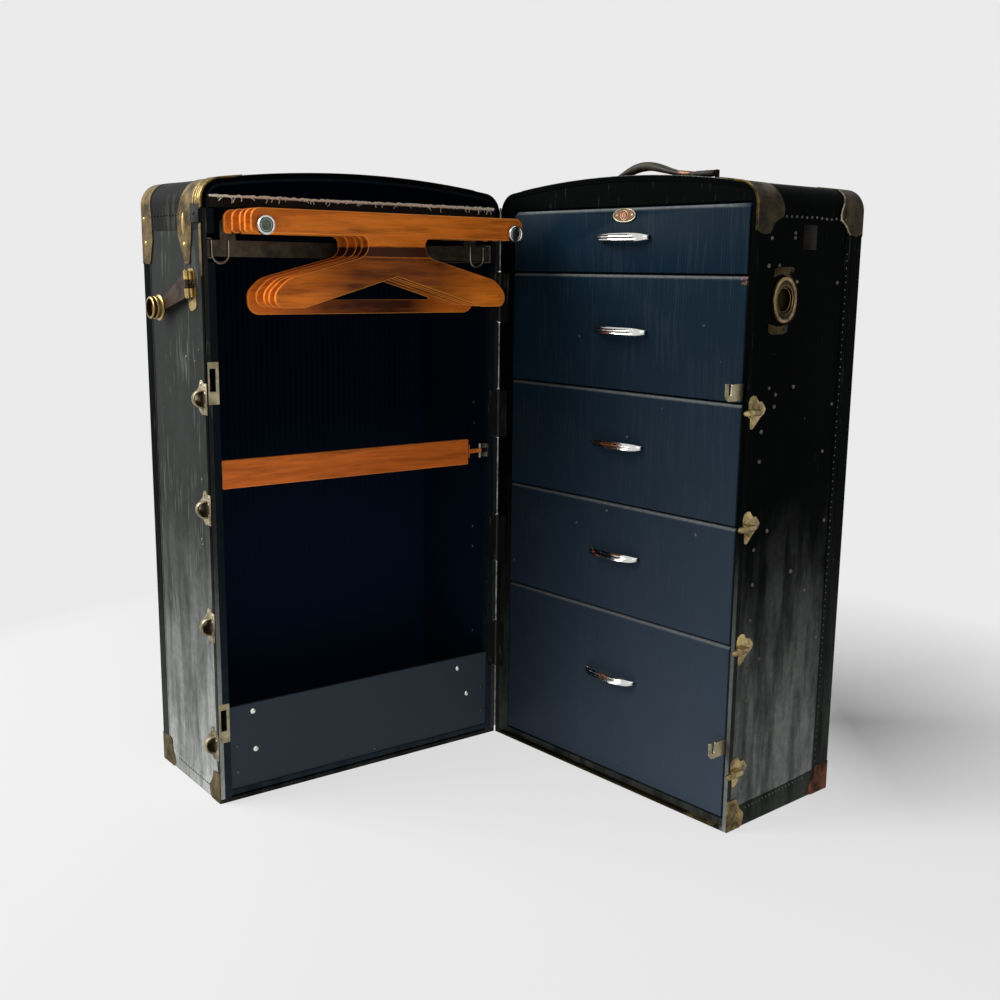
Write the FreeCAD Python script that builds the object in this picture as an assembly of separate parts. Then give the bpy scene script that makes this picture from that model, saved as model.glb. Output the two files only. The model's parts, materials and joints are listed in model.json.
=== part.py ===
import FreeCAD, Part

import math
import os

# Wardrobe trunk standing open on its end. All sizes are in millimetres.
#
# Frame: the origin is the centre of the drawer half's base, +Z up. The drawer half's open
# face looks towards -Y, and its hinge side is at -X. The wardrobe half is drawn closed on
# the drawer half, in front of it, and then swung open about the trunk hinge.
#
# Inside each half, u runs across the case from the hinge side, and d is the depth behind
# that half's own open face.

V = FreeCAD.Vector

# --- case -----------------------------------------------------------------------------------------
CASE_WIDTH = 560.0
CASE_HEIGHT = 1022.0          # at the middle of the crown
USUAL_HEIGHT = 1022.0         # the case height that every level below is given for
CROWN_RISE = 22.0             # crown above the line where it would meet the sides
SHOULDER_RADIUS = 34.0
DRAWER_HALF_DEPTH = 270.0
WARDROBE_HALF_DEPTH = 240.0
PANEL = 7.0                   # plywood and fibre together
LINING = 1.0
SEAM_GAP = 1.0                # between the two rims when the trunk is closed
OPEN_ANGLE = 94.0             # how far the wardrobe half stands open at rest
TOP_JOINT_BELOW_CROWN = 62.0  # where the bent top panel meets the side panels

# --- edging and corners ---------------------------------------------------------------------------
BINDING = 1.2
FRONT_BINDING_WIDTH = 8.0
BACK_BINDING_WIDTH = 24.0
CORNER_PLATE = 2.0
TOP_CORNER_REACH = 58.0       # how far the top corner plates reach across the top
BACK_CORNER_REACH = 44.0      # and how far the back ones reach across the back
BACK_CORNER_STEP = 40.0
OVER_CROWN = 60.0
FRONT_TIP_DROP = 145.0        # lowest tip of the wardrobe half's front plate below the crown
# Corner plate outlines: (distance from the front or back edge, height, corner radius).
# The height is measured from the crown in the top ones and from the base in the bottom ones.
DRAWER_TOP_FRONT_PLATE = ((0, OVER_CROWN, 0), (0, -86, 0), (14, -92, 5), (34, -91, 6), (44, -74, 8),
                          (64, -65, 5), (66, -54, 5), (56, -28, 12), (56, OVER_CROWN, 0))
DRAWER_TOP_BACK_PLATE = ((0, OVER_CROWN, 0), (0, -84, 0), (14, -89, 5), (34, -87, 6), (46, -72, 8),
                         (60, -66, 5), (60, -54, 5), (42, -28, 12), (40, OVER_CROWN, 0))
WARDROBE_TOP_FRONT_PLATE = ((0, OVER_CROWN, 0), (0, -60, 0), (36, -78, 6), (41, -114, 10),
                            (49, -FRONT_TIP_DROP, 6), (66, -FRONT_TIP_DROP, 6), (90, -102, 12),
                            (92, -70, 8), (70, -36, 14), (70, OVER_CROWN, 0))
WARDROBE_TOP_BACK_PLATE = ((0, OVER_CROWN, 0), (0, -138, 0), (8, -146, 5), (30, -146, 6), (43, -108, 12),
                           (42, -68, 8), (36, -32, 12), (36, OVER_CROWN, 0))
BOTTOM_FRONT_PLATE = ((0, 0, 0), (38, 0, 8), (42, 22, 8), (30, 34, 6), (22, 52, 6), (0, 52, 0))
BOTTOM_BACK_PLATE = ((0, 0, 0), (56, 0, 10), (50, 20, 8), (36, 36, 6), (38, 50, 5), (0, 50, 0))

# --- trunk hinges ---------------------------------------------------------------------------------
HINGE_LEVELS = (178.0, 382.0, 616.0, 826.0)
HINGE_LENGTH = 85.0
HINGE_OFFSET = 2.5            # pin axis outside the hinge side
KNUCKLE_RADIUS = 3.5
HINGE_PIN_RADIUS = 1.6
HINGE_PIN_PLAY = 0.05
KNUCKLE_PLAY = 0.3
LEAF = 1.5
LEAF_REACH = 19.0
PIN_HEAD_RADIUS = 3.0
PIN_HEAD = 2.0

# --- chest of drawers -----------------------------------------------------------------------------
STACK_BASE = 21.0
DRAWER_PROPORTIONS = (285.0, 187.5, 188.5, 189.0, 105.0)   # heights of the drawers, bottom one first
HEADER_DROP = 46.0            # top of the drawer stack below the crown
BOARD = 4.0
STILE_RIGHT = 33.0            # the hinge-side stile covers the case up to here
CARCASS_FROM_SIDE = 11.0      # outer face of the latch-side carcass board
FACE_FRAME = 12.5
FRONT_GAP = 3.0
FRONT = 12.0
FRONT_INSET = 1.0
FRONT_SIDE_PLAY = 2.0
RUN_PLAY = 0.3
BOX_SIDE_PLAY = 1.0
BOX_TOP_PLAY = 3.0
BOX_WALL = 6.0
BOX_FLOOR = 4.0
BOX_BACK_PLAY = 6.0
SEAM_LIP = 1.5
SEAM_LIP_PLAY = 0.5
SEAM_LIP_REACH = 9.0

# --- drawer pulls and lock ------------------------------------------------------------------------
PULL_CENTRE = 299.5
PULL_LENGTH = 112.0
PULL_RISE = 24.0
PULL_THICKNESS = 5.0
PULL_HEIGHT = 12.0
PULL_ABOVE_MIDDLE = (29.5, 7.0, 5.0, 2.5, 4.0)  # bottom drawer first
ESCUTCHEON_LENGTH = 50.0
ESCUTCHEON_HEIGHT = 22.0
ESCUTCHEON = 1.5
ESCUTCHEON_BELOW_EDGE = 12.5
KEY_PLUG_RADIUS = 5.0
KEY_PLUG_PLAY = 0.1
KEY_PLUG_PROUD = 1.0
LOCK_CASE_WIDTH = 34.0
LOCK_CASE_HEIGHT = 17.0
LOCK_CASE_DEPTH = 9.0
BOLT_WIDTH = 14.0
BOLT_THICKNESS = 4.0
BOLT_PLAY = 0.3

# --- fittings on the latch side -------------------------------------------------------------------
DOWEL_LEVELS = (99.0, 301.0, 494.0, 670.0)
DOWEL_RADIUS = 6.5
DOWEL_AXIS_OUT = 8.5          # from the side panel to the dowel's axis
DOWEL_PROJECTION = 15.0       # past the seam
DOWEL_SOCKET_PLAY = 1.5
SOCKET_WALL = 2.0
SOCKET_LENGTH = 16.0
PLATE = 1.5
PLATE_FROM_SEAM = 9.0
PLATE_LENGTH = 42.0
PLATE_HEIGHT = 52.0

HOOK_LEVELS = (143.0, 700.0)
HOOK = 2.5
HOOK_FROM_SIDE = 8.9          # middle of the hook plates, in from the latch side
HOOK_PROJECTION = 40.0
HOOK_TAIL = 27.0
HOOK_HEIGHT = 25.0
HOOK_PIVOT_DEPTH = 17.0
HOOK_PIN_RADIUS = 2.5
HOOK_PIN_PLAY = 0.08
KEEPER = 1.2
KEEPER_HEIGHT = 66.0
KEEPER_DROP = 5.0             # middle of the keeper plate below its hook
KEEPER_SLOT_HEIGHT = 36.0
KEEPER_SLOT_WIDTH = 10.0
KEEPER_POCKET = 46.0
KEEPER_EDGE = 1.0

CUP_BELOW_HASP_AXIS = 11.0
CUP_DEPTH_CENTRE = 77.0       # of the cup's centre behind the drawer half's open face
CUP_RING_WIDTH = 56.0
CUP_RING_HEIGHT = 68.0
CUP_RING = 3.0
CUP_RECESS = 9.5
CUP_WALL = 1.0
BOSS_RADIUS = 17.0
BOSS_PLAY = 2.0
BOSS_WALL = 2.5
BOSS_DEPTH = 16.0
BOSS_FLANGE_RADIUS = 18.5
HASP_AXIS_OUT = 10.0
HASP_AXIS_DEPTH = 42.0        # behind the wardrobe half's open face
HASP_PLATE_BELOW_TIP = 7.0    # under the tip of the front corner plate
HASP_PLATE_ABOVE_BARREL = 4.0
HASP_TILT = 6.9               # degrees, the hinge axis leans back
HASP_BARREL_LENGTH = 40.0
HASP_BARREL_RADIUS = 4.5
HASP_PIN_RADIUS = 2.0
HASP_ARM = 2.0
HASP_KNUCKLE_SPACE = 1.0      # between the arm and the fixed knuckles
HASP_ARM_WIDTH = 36.0
HASP_ARM_TAPER_START = 14.0   # from the axis
HASP_ARM_END_WIDTH = 15.0
LOCK_BODY_RADIUS = 13.0
LOCK_BODY = 5.0
HASP_KEY_RADIUS = 5.0

# --- carrying handle ------------------------------------------------------------------------------
HANDLE_DEPTH = 118.0          # of its centre line behind the drawer half's open face
HANDLE_SPAN = 196.0           # between the staples
HANDLE_AXIS_UP = 12.0         # pivot axis above the crown
HANDLE_RISE = 26.0
HANDLE_STRAP_WIDTH = 24.0
HANDLE_STRAP = 7.0
STAPLE_WIRE_RADIUS = 2.5
STAPLE_PLATE = 2.0
STAPLE_PLATE_LENGTH = 26.0
STAPLE_PLATE_WIDTH = 34.0
HANDLE_EYE_RADIUS = 7.5
HANDLE_EYE_PLAY = 0.3

# --- wardrobe half inside -------------------------------------------------------------------------
RIM_WIDTH = 12.0
RIM_DEPTH = 14.0
RIM_REBATE = 3.5
CROWN_STRIP_WIDTH = 4.0
SHOE_PANEL_TOP = 162.0
SHOE_PANEL = 6.0
SHOE_PANEL_INSET = 2.0
BAR_HEIGHT = 46.0
BAR_CENTRE_LEVEL = 549.0
BAR_THICKNESS = 8.0
BAR_INSET = 2.0
BAR_HINGE_U = 34.0
BAR_START_U = 62.0
BAR_END_PLAY = 1.5
BAR_STRAP = 2.0
BAR_STRAP_HEIGHT = 24.0
BAR_STRAP_OVER = 6.0           # past the end of the bar
BAR_STRAP_REACH = 40.0         # along the back of the bar
BAR_KNUCKLE_RADIUS = 3.5
BAR_PIN_RADIUS = 1.5
STAY = 1.5
CURTAIN = 1.2
CURTAIN_HEIGHT = 19.0
CURTAIN_BELOW_CROWN = 41.0
CURTAIN_INSET = 1.0

# --- hanger trolley -------------------------------------------------------------------------------
TRACK_BELOW_CROWN = 121.0
TRACK_HEIGHT = 31.0
TRACK_WIDTH = 12.0
TRACK_WALL = 2.0
CARRIAGE_HEIGHT = 25.0
CARRIAGE = 3.0
CARRIAGE_SIDE_PLAY = 1.0
CARRIAGE_LENGTH = 36.0
CROSS_BAR_DEPTH = 20.0        # of the cross bar's front face at rest
CROSS_BAR = 3.0
RAIL_FROM_SIDE = 50.0
RAIL_ABOVE_TRACK = 33.0
RAIL_RADIUS = 8.0
RAIL_WALL = 1.5
RAIL_FRONT = -108.0           # in front of the open face at rest
RAIL_BACK = 40.0
RAIL_LUG_WIDTH = 26.0
END_CAP_RADIUS = 14.0
END_CAP = 6.0
BAIL_FROM_SIDE = 36.0
BAIL_WIDTH = 28.0
BAIL_DROP = 20.0
BAIL_WIRE_RADIUS = 1.75

# --- hangers --------------------------------------------------------------------------------------
HANGER_DEPTHS = (-107.0, -86.0, -69.0, -42.0, -13.0)   # front faces at rest, front hanger first
HANGER = 6.0
HANGER_BAR_FROM_SIDE = 30.0
HANGER_BAR_HEIGHT = 36.0
HANGER_BAR_ABOVE_RAIL = 25.0
HANGER_NECK_WIDTH = 106.0
HANGER_SPAN = 428.0
HANGER_DROP = 146.0           # from the top of the bar to the lowest point of the shoulders
HANGER_SHOULDER_RADIUS = 40.0
HANGER_TIP_RADIUS = 13.0
TROUSER_BAR_HEIGHT = 23.0
TROUSER_BAR_DROP = 13.0
NOTCH_PLAY = 0.3

# --- worked out from the sizes above --------------------------------------------------------------
HALF_WIDTH = CASE_WIDTH / 2
CARCASS_RIGHT = CASE_WIDTH - CARCASS_FROM_SIDE
HOOK_CENTRE = CASE_WIDTH - HOOK_FROM_SIDE
DRAWER_FACE_Y = -DRAWER_HALF_DEPTH / 2
WARDROBE_FACE_Y = DRAWER_FACE_Y - SEAM_GAP
HINGE_X = -HALF_WIDTH - HINGE_OFFSET
HINGE_Y = (DRAWER_FACE_Y + WARDROBE_FACE_Y) / 2
CROWN_RADIUS = (HALF_WIDTH ** 2 + CROWN_RISE ** 2) / (2 * CROWN_RISE)
CROWN_CENTRE_Z = CASE_HEIGHT - CROWN_RADIUS
TOP_JOINT_Z = CASE_HEIGHT - TOP_JOINT_BELOW_CROWN
STACK_TOP = CASE_HEIGHT - HEADER_DROP
CURTAIN_TOP = CASE_HEIGHT - CURTAIN_BELOW_CROWN
TRACK_CENTRE_HEIGHT = CASE_HEIGHT - TRACK_BELOW_CROWN
RAIL_HEIGHT = TRACK_CENTRE_HEIGHT + RAIL_ABOVE_TRACK
HASP_PLATE_TOP = CASE_HEIGHT - FRONT_TIP_DROP - HASP_PLATE_BELOW_TIP
HASP_AXIS_HEIGHT = HASP_PLATE_TOP - HASP_PLATE_ABOVE_BARREL - HASP_BARREL_LENGTH / 2
CUP_HEIGHT = HASP_AXIS_HEIGHT - CUP_BELOW_HASP_AXIS
OUT = 60.0                    # how far a cutting block reaches past what it cuts


def at_levels(levels):
    """The levels moved with the height of the case."""
    return tuple(level * CASE_HEIGHT / USUAL_HEIGHT for level in levels)


HINGE_HEIGHTS = at_levels(HINGE_LEVELS)
DOWEL_HEIGHTS = at_levels(DOWEL_LEVELS)
HOOK_HEIGHTS = at_levels(HOOK_LEVELS)
BAR_CENTRE_HEIGHT = at_levels((BAR_CENTRE_LEVEL,))[0]


def export(name, solids):
    """Writes the solids of one node as one STEP file."""
    shape = solids[0] if len(solids) == 1 else Part.makeCompound(solids)
    shape.exportStep("parts/" + name + ".step")


def block(x0, x1, y0, y1, z0, z1):
    return Part.makeBox(x1 - x0, y1 - y0, z1 - z0, V(x0, y0, z0))


def rounded_wire(points):
    """A closed wire in the XZ plane through (x, z, radius) points with rounded corners."""
    count = len(points)
    corners = []
    for index, (x, z, radius) in enumerate(points):
        here = V(x, 0, z)
        before = V(points[index - 1][0], 0, points[index - 1][1])
        after = V(points[(index + 1) % count][0], 0, points[(index + 1) % count][1])
        to_before = (before - here).normalize()
        to_after = (after - here).normalize()
        if radius <= 0:
            corners.append((here, None, here))
            continue
        half_angle = to_before.getAngle(to_after) / 2
        setback = radius / math.tan(half_angle)
        bisector = (to_before + to_after).normalize()
        centre = here + bisector * (radius / math.sin(half_angle))
        corners.append((here + to_before * setback, centre - bisector * radius, here + to_after * setback))
    edges = []
    for index, (start, middle, end) in enumerate(corners):
        if middle is not None:
            edges.append(Part.Arc(start, middle, end).toShape())
        following = corners[(index + 1) % count][0]
        if end.distanceToPoint(following) > 1e-6:
            edges.append(Part.LineSegment(end, following).toShape())
    return Part.Wire(edges)


def rounded_plate(points, y0, y1):
    """The rounded outline as a plate between two Y planes."""
    plate = Part.Face(rounded_wire(points)).extrude(V(0, y1 - y0, 0))
    plate.translate(V(0, y0, 0))
    return plate


def cylinder(radius, start, end):
    axis = end - start
    return Part.makeCylinder(radius, axis.Length, start, axis)


def case_outline(inset):
    """The case seen from its open face, shrunk by inset (grown if negative). Its bottom stays flat."""
    left = -HALF_WIDTH + inset
    right = HALF_WIDTH - inset
    crown = CROWN_RADIUS - inset
    shoulder = SHOULDER_RADIUS - inset
    shoulder_x = right - shoulder
    shoulder_z = CROWN_CENTRE_Z + math.sqrt((crown - shoulder) ** 2 - shoulder_x ** 2)
    lean = math.atan2(shoulder_x, shoulder_z - CROWN_CENTRE_Z)

    def on_crown(angle):
        return V(crown * math.sin(angle), 0, CROWN_CENTRE_Z + crown * math.cos(angle))

    def on_shoulder(side, angle):
        x = shoulder_x + shoulder * math.sin(angle)
        return V(side * x, 0, shoulder_z + shoulder * math.cos(angle))

    middle = (lean + math.pi / 2) / 2
    base = max(inset, 0)
    bottom_left = V(left, 0, base)
    bottom_right = V(right, 0, base)
    left_spring = on_shoulder(-1, math.pi / 2)
    right_spring = on_shoulder(1, math.pi / 2)
    return Part.Face(Part.Wire([
        Part.LineSegment(bottom_left, bottom_right).toShape(),
        Part.LineSegment(bottom_right, right_spring).toShape(),
        Part.Arc(right_spring, on_shoulder(1, middle), on_crown(lean)).toShape(),
        Part.Arc(on_crown(lean), on_crown(0), on_crown(-lean)).toShape(),
        Part.Arc(on_crown(-lean), on_shoulder(-1, middle), left_spring).toShape(),
        Part.LineSegment(left_spring, bottom_left).toShape(),
    ]))


class Half:
    """One half of the case: places things by u across it and d behind its open face."""

    def __init__(self, face_y, direction, depth):
        self.face_y = face_y
        self.direction = direction
        self.depth = depth

    def x(self, u):
        return u - HALF_WIDTH

    def y(self, d):
        return self.face_y + self.direction * d

    def point(self, u, d, z):
        return V(self.x(u), self.y(d), z)

    def box(self, u0, u1, d0, d1, z0, z1):
        low, high = sorted((self.y(d0), self.y(d1)))
        return block(self.x(u0), self.x(u1), low, high, z0, z1)

    def slab(self, inset, d0, d1):
        """The case outline as a slab between two depths."""
        low, high = sorted((self.y(d0), self.y(d1)))
        slab = case_outline(inset).extrude(V(0, high - low, 0))
        slab.translate(V(0, low, 0))
        return slab

    def ring(self, outer, inner, d0, d1):
        """A band that follows the outline, between two insets and two depths."""
        return self.slab(outer, d0, d1).cut(self.slab(inner, d0 - OUT, d1 + OUT))

    def plate(self, points, d0, d1):
        """A rounded outline of (u, z, radius) points as a plate between two depths."""
        low, high = sorted((self.y(d0), self.y(d1)))
        return rounded_plate([(self.x(u), z, radius) for u, z, radius in points], low, high)

    def side_plate(self, points, out0, out1):
        """A rounded outline of (d, z, radius) points as a plate on the latch side."""
        shape = rounded_plate([(self.direction * d, z, radius) for d, z, radius in points], out0, out1)
        shape.rotate(V(0, 0, 0), V(0, 0, 1), 90)
        shape = shape.mirror(V(0, 0, 0), V(1, 0, 0))
        shape.translate(V(HALF_WIDTH, self.face_y, 0))
        return shape


DRAWER = Half(DRAWER_FACE_Y, 1, DRAWER_HALF_DEPTH)
WARDROBE = Half(WARDROBE_FACE_Y, -1, WARDROBE_HALF_DEPTH)


def swing_open(shape):
    """Turns a piece of the wardrobe half from closed to its place at rest."""
    opened = shape.copy()
    opened.rotate(V(HINGE_X, HINGE_Y, 0), V(0, 0, 1), -OPEN_ANGLE)
    return opened


def export_wardrobe(name, solids):
    export(name, [swing_open(solid) for solid in solids])


def cut_all(shape, tools):
    for tool in tools:
        shape = shape.cut(tool)
    return shape


# --- case pieces ----------------------------------------------------------------------------------

def latch_prism(half, outline, from_back):
    """A block over the latch side whose outline is measured from the front or the back edge."""
    points = []
    for edge, z, radius in outline:
        if not from_back:
            points.append((edge, z, radius))
        elif edge > 0:
            points.append((half.depth - edge, z, radius))
        else:
            points.append((half.depth + 2 * CORNER_PLATE, z, radius))
    return half.side_plate(points, -TOP_CORNER_REACH, OUT)


def from_crown(outline):
    return [(edge, CASE_HEIGHT + z, radius) for edge, z, radius in outline]


def corner_plates(half, top_front, top_back):
    """Two plates round the latch side's front corners and four round the back corners."""
    top_front = from_crown(top_front)
    top_back = from_crown(top_back)
    wrap = half.ring(-CORNER_PLATE, 0, 0, half.depth)
    back_skin = half.slab(-CORNER_PLATE, half.depth, half.depth + CORNER_PLATE)
    plates = [wrap.common(latch_prism(half, outline, False)) for outline in (top_front, BOTTOM_FRONT_PLATE)]
    for outline in (top_back, BOTTOM_BACK_PLATE):
        band = wrap.common(latch_prism(half, outline, True))
        tip = min(z for e, z, radius in outline)
        head = max(z for e, z, radius in outline)
        across = BACK_CORNER_REACH
        flap_points = [(CASE_WIDTH - across, head, 0), (CASE_WIDTH + OUT, head, 0),
                       (CASE_WIDTH + OUT, tip, 0), (CASE_WIDTH - 0.6 * across, tip, 8)]
        if head < CASE_HEIGHT / 2:
            flap_points[0] = (CASE_WIDTH - 0.8 * across, head, 10)
            flap_points[3] = (CASE_WIDTH - across, tip, 8)
        else:
            flap_points.append((CASE_WIDTH - across, tip + BACK_CORNER_STEP, 12))
        flap = back_skin.common(half.plate(flap_points, half.depth, half.depth + CORNER_PLATE))
        latch_plate = band.fuse(flap).removeSplitter()
        plates.append(latch_plate)
        plates.append(latch_plate.mirror(V(0, 0, 0), V(1, 0, 0)))
    return plates


def edge_bindings(half, plates, leaf_pockets):
    """The fibre strips on the front and back edges, trimmed where corner plates and hinges lie."""
    above_floor = half.box(-OUT, CASE_WIDTH + OUT, -OUT, half.depth + OUT, 0, CASE_HEIGHT + OUT)
    front = half.ring(-BINDING, 0, 0, FRONT_BINDING_WIDTH)
    back = half.ring(-BINDING, 0, half.depth - BACK_BINDING_WIDTH, half.depth)
    back_face = half.slab(-BINDING, half.depth, half.depth + BINDING).cut(
        half.slab(BACK_BINDING_WIDTH, half.depth - OUT, half.depth + OUT))
    strips = []
    for strip in (front, back.fuse(back_face).removeSplitter()):
        trimmed = cut_all(strip.common(above_floor), plates + leaf_pockets)
        strips.extend(trimmed.Solids)
    return strips


def leaf_pocket(half, height):
    """The room that one hinge takes in the rim: its leaf and its knuckles."""
    reach = HINGE_LENGTH / 2 + PIN_HEAD + KNUCKLE_PLAY
    knuckles = cylinder(KNUCKLE_RADIUS + KNUCKLE_PLAY, V(HINGE_X, HINGE_Y, height - reach),
                        V(HINGE_X, HINGE_Y, height + reach))
    leaf = half.box(-OUT, LEAF_REACH, 0, LEAF, height - HINGE_LENGTH / 2, height + HINGE_LENGTH / 2)
    return leaf.fuse(knuckles)


def case_panels(half):
    """Bottom, two sides, bent top and back of one half, butted together."""
    inner = half.depth - PANEL
    bottom = half.box(0, CASE_WIDTH, 0, inner, 0, PANEL)
    sides = [half.box(u0, u0 + PANEL, 0, inner, PANEL, TOP_JOINT_Z) for u0 in (0, CASE_WIDTH - PANEL)]
    above = half.box(-OUT, CASE_WIDTH + OUT, -OUT, half.depth + OUT, TOP_JOINT_Z, CASE_HEIGHT + OUT)
    top = half.ring(0, PANEL, 0, inner).common(above)
    back = half.slab(0, inner, half.depth)
    return bottom, sides, top, back


def hinge_leaf(half, height):
    """One hinge leaf with its knuckles. The drawer half has the outer two, the other the middle one."""
    low = height - HINGE_LENGTH / 2
    third = HINGE_LENGTH / 3
    if half is DRAWER:
        spans = ((low, low + third), (low + 2 * third, low + HINGE_LENGTH))
    else:
        spans = ((low + third + KNUCKLE_PLAY, low + 2 * third - KNUCKLE_PLAY),)
    leaf_start = -HINGE_OFFSET + KNUCKLE_RADIUS + KNUCKLE_PLAY
    leaf = half.box(leaf_start, LEAF_REACH, 0, LEAF, low, low + HINGE_LENGTH)
    for z0, z1 in spans:
        bridge = half.box(-HINGE_OFFSET, leaf_start, 0, LEAF, z0, z1)
        knuckle = cylinder(KNUCKLE_RADIUS, V(HINGE_X, HINGE_Y, z0), V(HINGE_X, HINGE_Y, z1))
        leaf = leaf.fuse(knuckle).fuse(bridge)
    bore = cylinder(HINGE_PIN_RADIUS + HINGE_PIN_PLAY,
                    V(HINGE_X, HINGE_Y, low - OUT), V(HINGE_X, HINGE_Y, low + HINGE_LENGTH + OUT))
    return leaf.cut(bore).removeSplitter()


def hinge_pin(height):
    low = height - HINGE_LENGTH / 2
    high = height + HINGE_LENGTH / 2
    shank = cylinder(HINGE_PIN_RADIUS, V(HINGE_X, HINGE_Y, low - PIN_HEAD),
                     V(HINGE_X, HINGE_Y, high + PIN_HEAD))
    heads = [cylinder(PIN_HEAD_RADIUS, V(HINGE_X, HINGE_Y, z), V(HINGE_X, HINGE_Y, z + PIN_HEAD))
             for z in (low - PIN_HEAD, high)]
    return shank.fuse(heads[0]).fuse(heads[1]).removeSplitter()


# --- drawer half ----------------------------------------------------------------------------------

def stack_levels():
    """Heights of the boards between the drawers, from the bottom board to the top one."""
    share = (STACK_TOP - STACK_BASE) / sum(DRAWER_PROPORTIONS)
    levels = [STACK_BASE]
    for height in DRAWER_PROPORTIONS:
        levels.append(levels[-1] + height * share)
    return levels


CARCASS_LEFT = STILE_RIGHT - BOARD
CARCASS_BACK = DRAWER_HALF_DEPTH - PANEL
FACE_BACK = LEAF + FACE_FRAME
BOX_LEFT = STILE_RIGHT + BOX_SIDE_PLAY
BOX_RIGHT = CARCASS_RIGHT - BOARD - BOX_SIDE_PLAY
LOCK_Z = STACK_TOP - FRONT_GAP / 2 - ESCUTCHEON_BELOW_EDGE


def face_frame():
    """The fixed front round the drawers: header under the crown, hinge-side stile and plinth."""
    header_bottom = STACK_TOP + FRONT_GAP / 2
    inside = DRAWER.slab(PANEL, LEAF, FACE_BACK)
    header = inside.common(DRAWER.box(0, CASE_WIDTH, 0, DRAWER.depth, header_bottom, CASE_HEIGHT + OUT))
    stile = inside.common(DRAWER.box(PANEL, STILE_RIGHT, 0, DRAWER.depth, PANEL, header_bottom))
    plinth = DRAWER.box(STILE_RIGHT, CASE_WIDTH - PANEL, LEAF, FACE_BACK, PANEL, STACK_BASE - BOARD / 2)
    return [header, stile, plinth]


def carcass_sides():
    top = STACK_TOP + BOARD / 2
    return [DRAWER.box(u0, u0 + BOARD, FACE_BACK, CARCASS_BACK, PANEL, top)
            for u0 in (CARCASS_LEFT, CARCASS_RIGHT - BOARD)]


def drawer_boards():
    """The boards that the drawers run on, and the top one with the slot for the lock bolt."""
    boards = [DRAWER.box(STILE_RIGHT, CARCASS_RIGHT - BOARD, FACE_BACK, CARCASS_BACK,
                         level - BOARD / 2, level + BOARD / 2) for level in stack_levels()]
    slot = DRAWER.box(PULL_CENTRE - BOLT_WIDTH / 2 - 1, PULL_CENTRE + BOLT_WIDTH / 2 + 1,
                      BOLT_BACK - BOLT_THICKNESS - 1, BOLT_BACK + 1, STACK_TOP - BOARD, STACK_TOP + BOARD)
    boards[-1] = boards[-1].cut(slot)
    return boards


def seam_lip():
    """The metal lip along the bottom front that guides the halves together."""
    return DRAWER.box(PANEL + RIM_WIDTH + 1, CASE_WIDTH - PANEL - RIM_WIDTH - 1, -SEAM_LIP_REACH, LEAF,
                      PANEL + SEAM_LIP_PLAY, PANEL + SEAM_LIP_PLAY + SEAM_LIP)


def drawer_front(low, high):
    return DRAWER.box(STILE_RIGHT + FRONT_SIDE_PLAY, CARCASS_RIGHT - BOX_SIDE_PLAY / 2, FRONT_INSET,
                      FRONT_INSET + FRONT, low + FRONT_GAP / 2, high - FRONT_GAP / 2)


def drawer_box(low, high):
    """An open tray behind the front."""
    front = FRONT_INSET + FRONT
    back = CARCASS_BACK - BOX_BACK_PLAY
    floor = low + BOARD / 2 + RUN_PLAY
    rim = high - BOARD / 2 - BOX_TOP_PLAY
    outer = DRAWER.box(BOX_LEFT, BOX_RIGHT, front, back, floor, rim)
    inner = DRAWER.box(BOX_LEFT + BOX_WALL, BOX_RIGHT - BOX_WALL, front + BOX_WALL, back - BOX_WALL,
                       floor + BOX_FLOOR, rim + OUT)
    return outer.cut(inner)


def drawer_pull(height):
    """An arched bar with a foot at each end, standing on the drawer front."""
    half_length = PULL_LENGTH / 2
    foot = 12.0
    rise = PULL_RISE + FRONT_INSET
    tip = -FRONT_INSET

    def arch(length, top):
        return Part.Arc(V(-length, -tip, 0), V(0, top, 0), V(length, -tip, 0)).toShape()

    outer_arc = arch(half_length, rise)
    inner_length = half_length - foot
    inner_arc = arch(inner_length, rise - PULL_THICKNESS)
    feet = [Part.LineSegment(V(side * half_length, -tip, 0), V(side * inner_length, -tip, 0)).toShape()
            for side in (-1, 1)]
    profile = Part.Face(Part.Wire(Part.sortEdges([outer_arc, inner_arc] + feet)[0]))
    pull = profile.extrude(V(0, 0, PULL_HEIGHT))
    pull = pull.mirror(V(0, 0, 0), V(0, 1, 0))
    pull.translate(V(DRAWER.x(PULL_CENTRE), DRAWER.face_y + 2 * FRONT_INSET, height - PULL_HEIGHT / 2))
    return pull


BOLT_BACK = FRONT_INSET + FRONT + LOCK_CASE_DEPTH - 1.5


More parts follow.
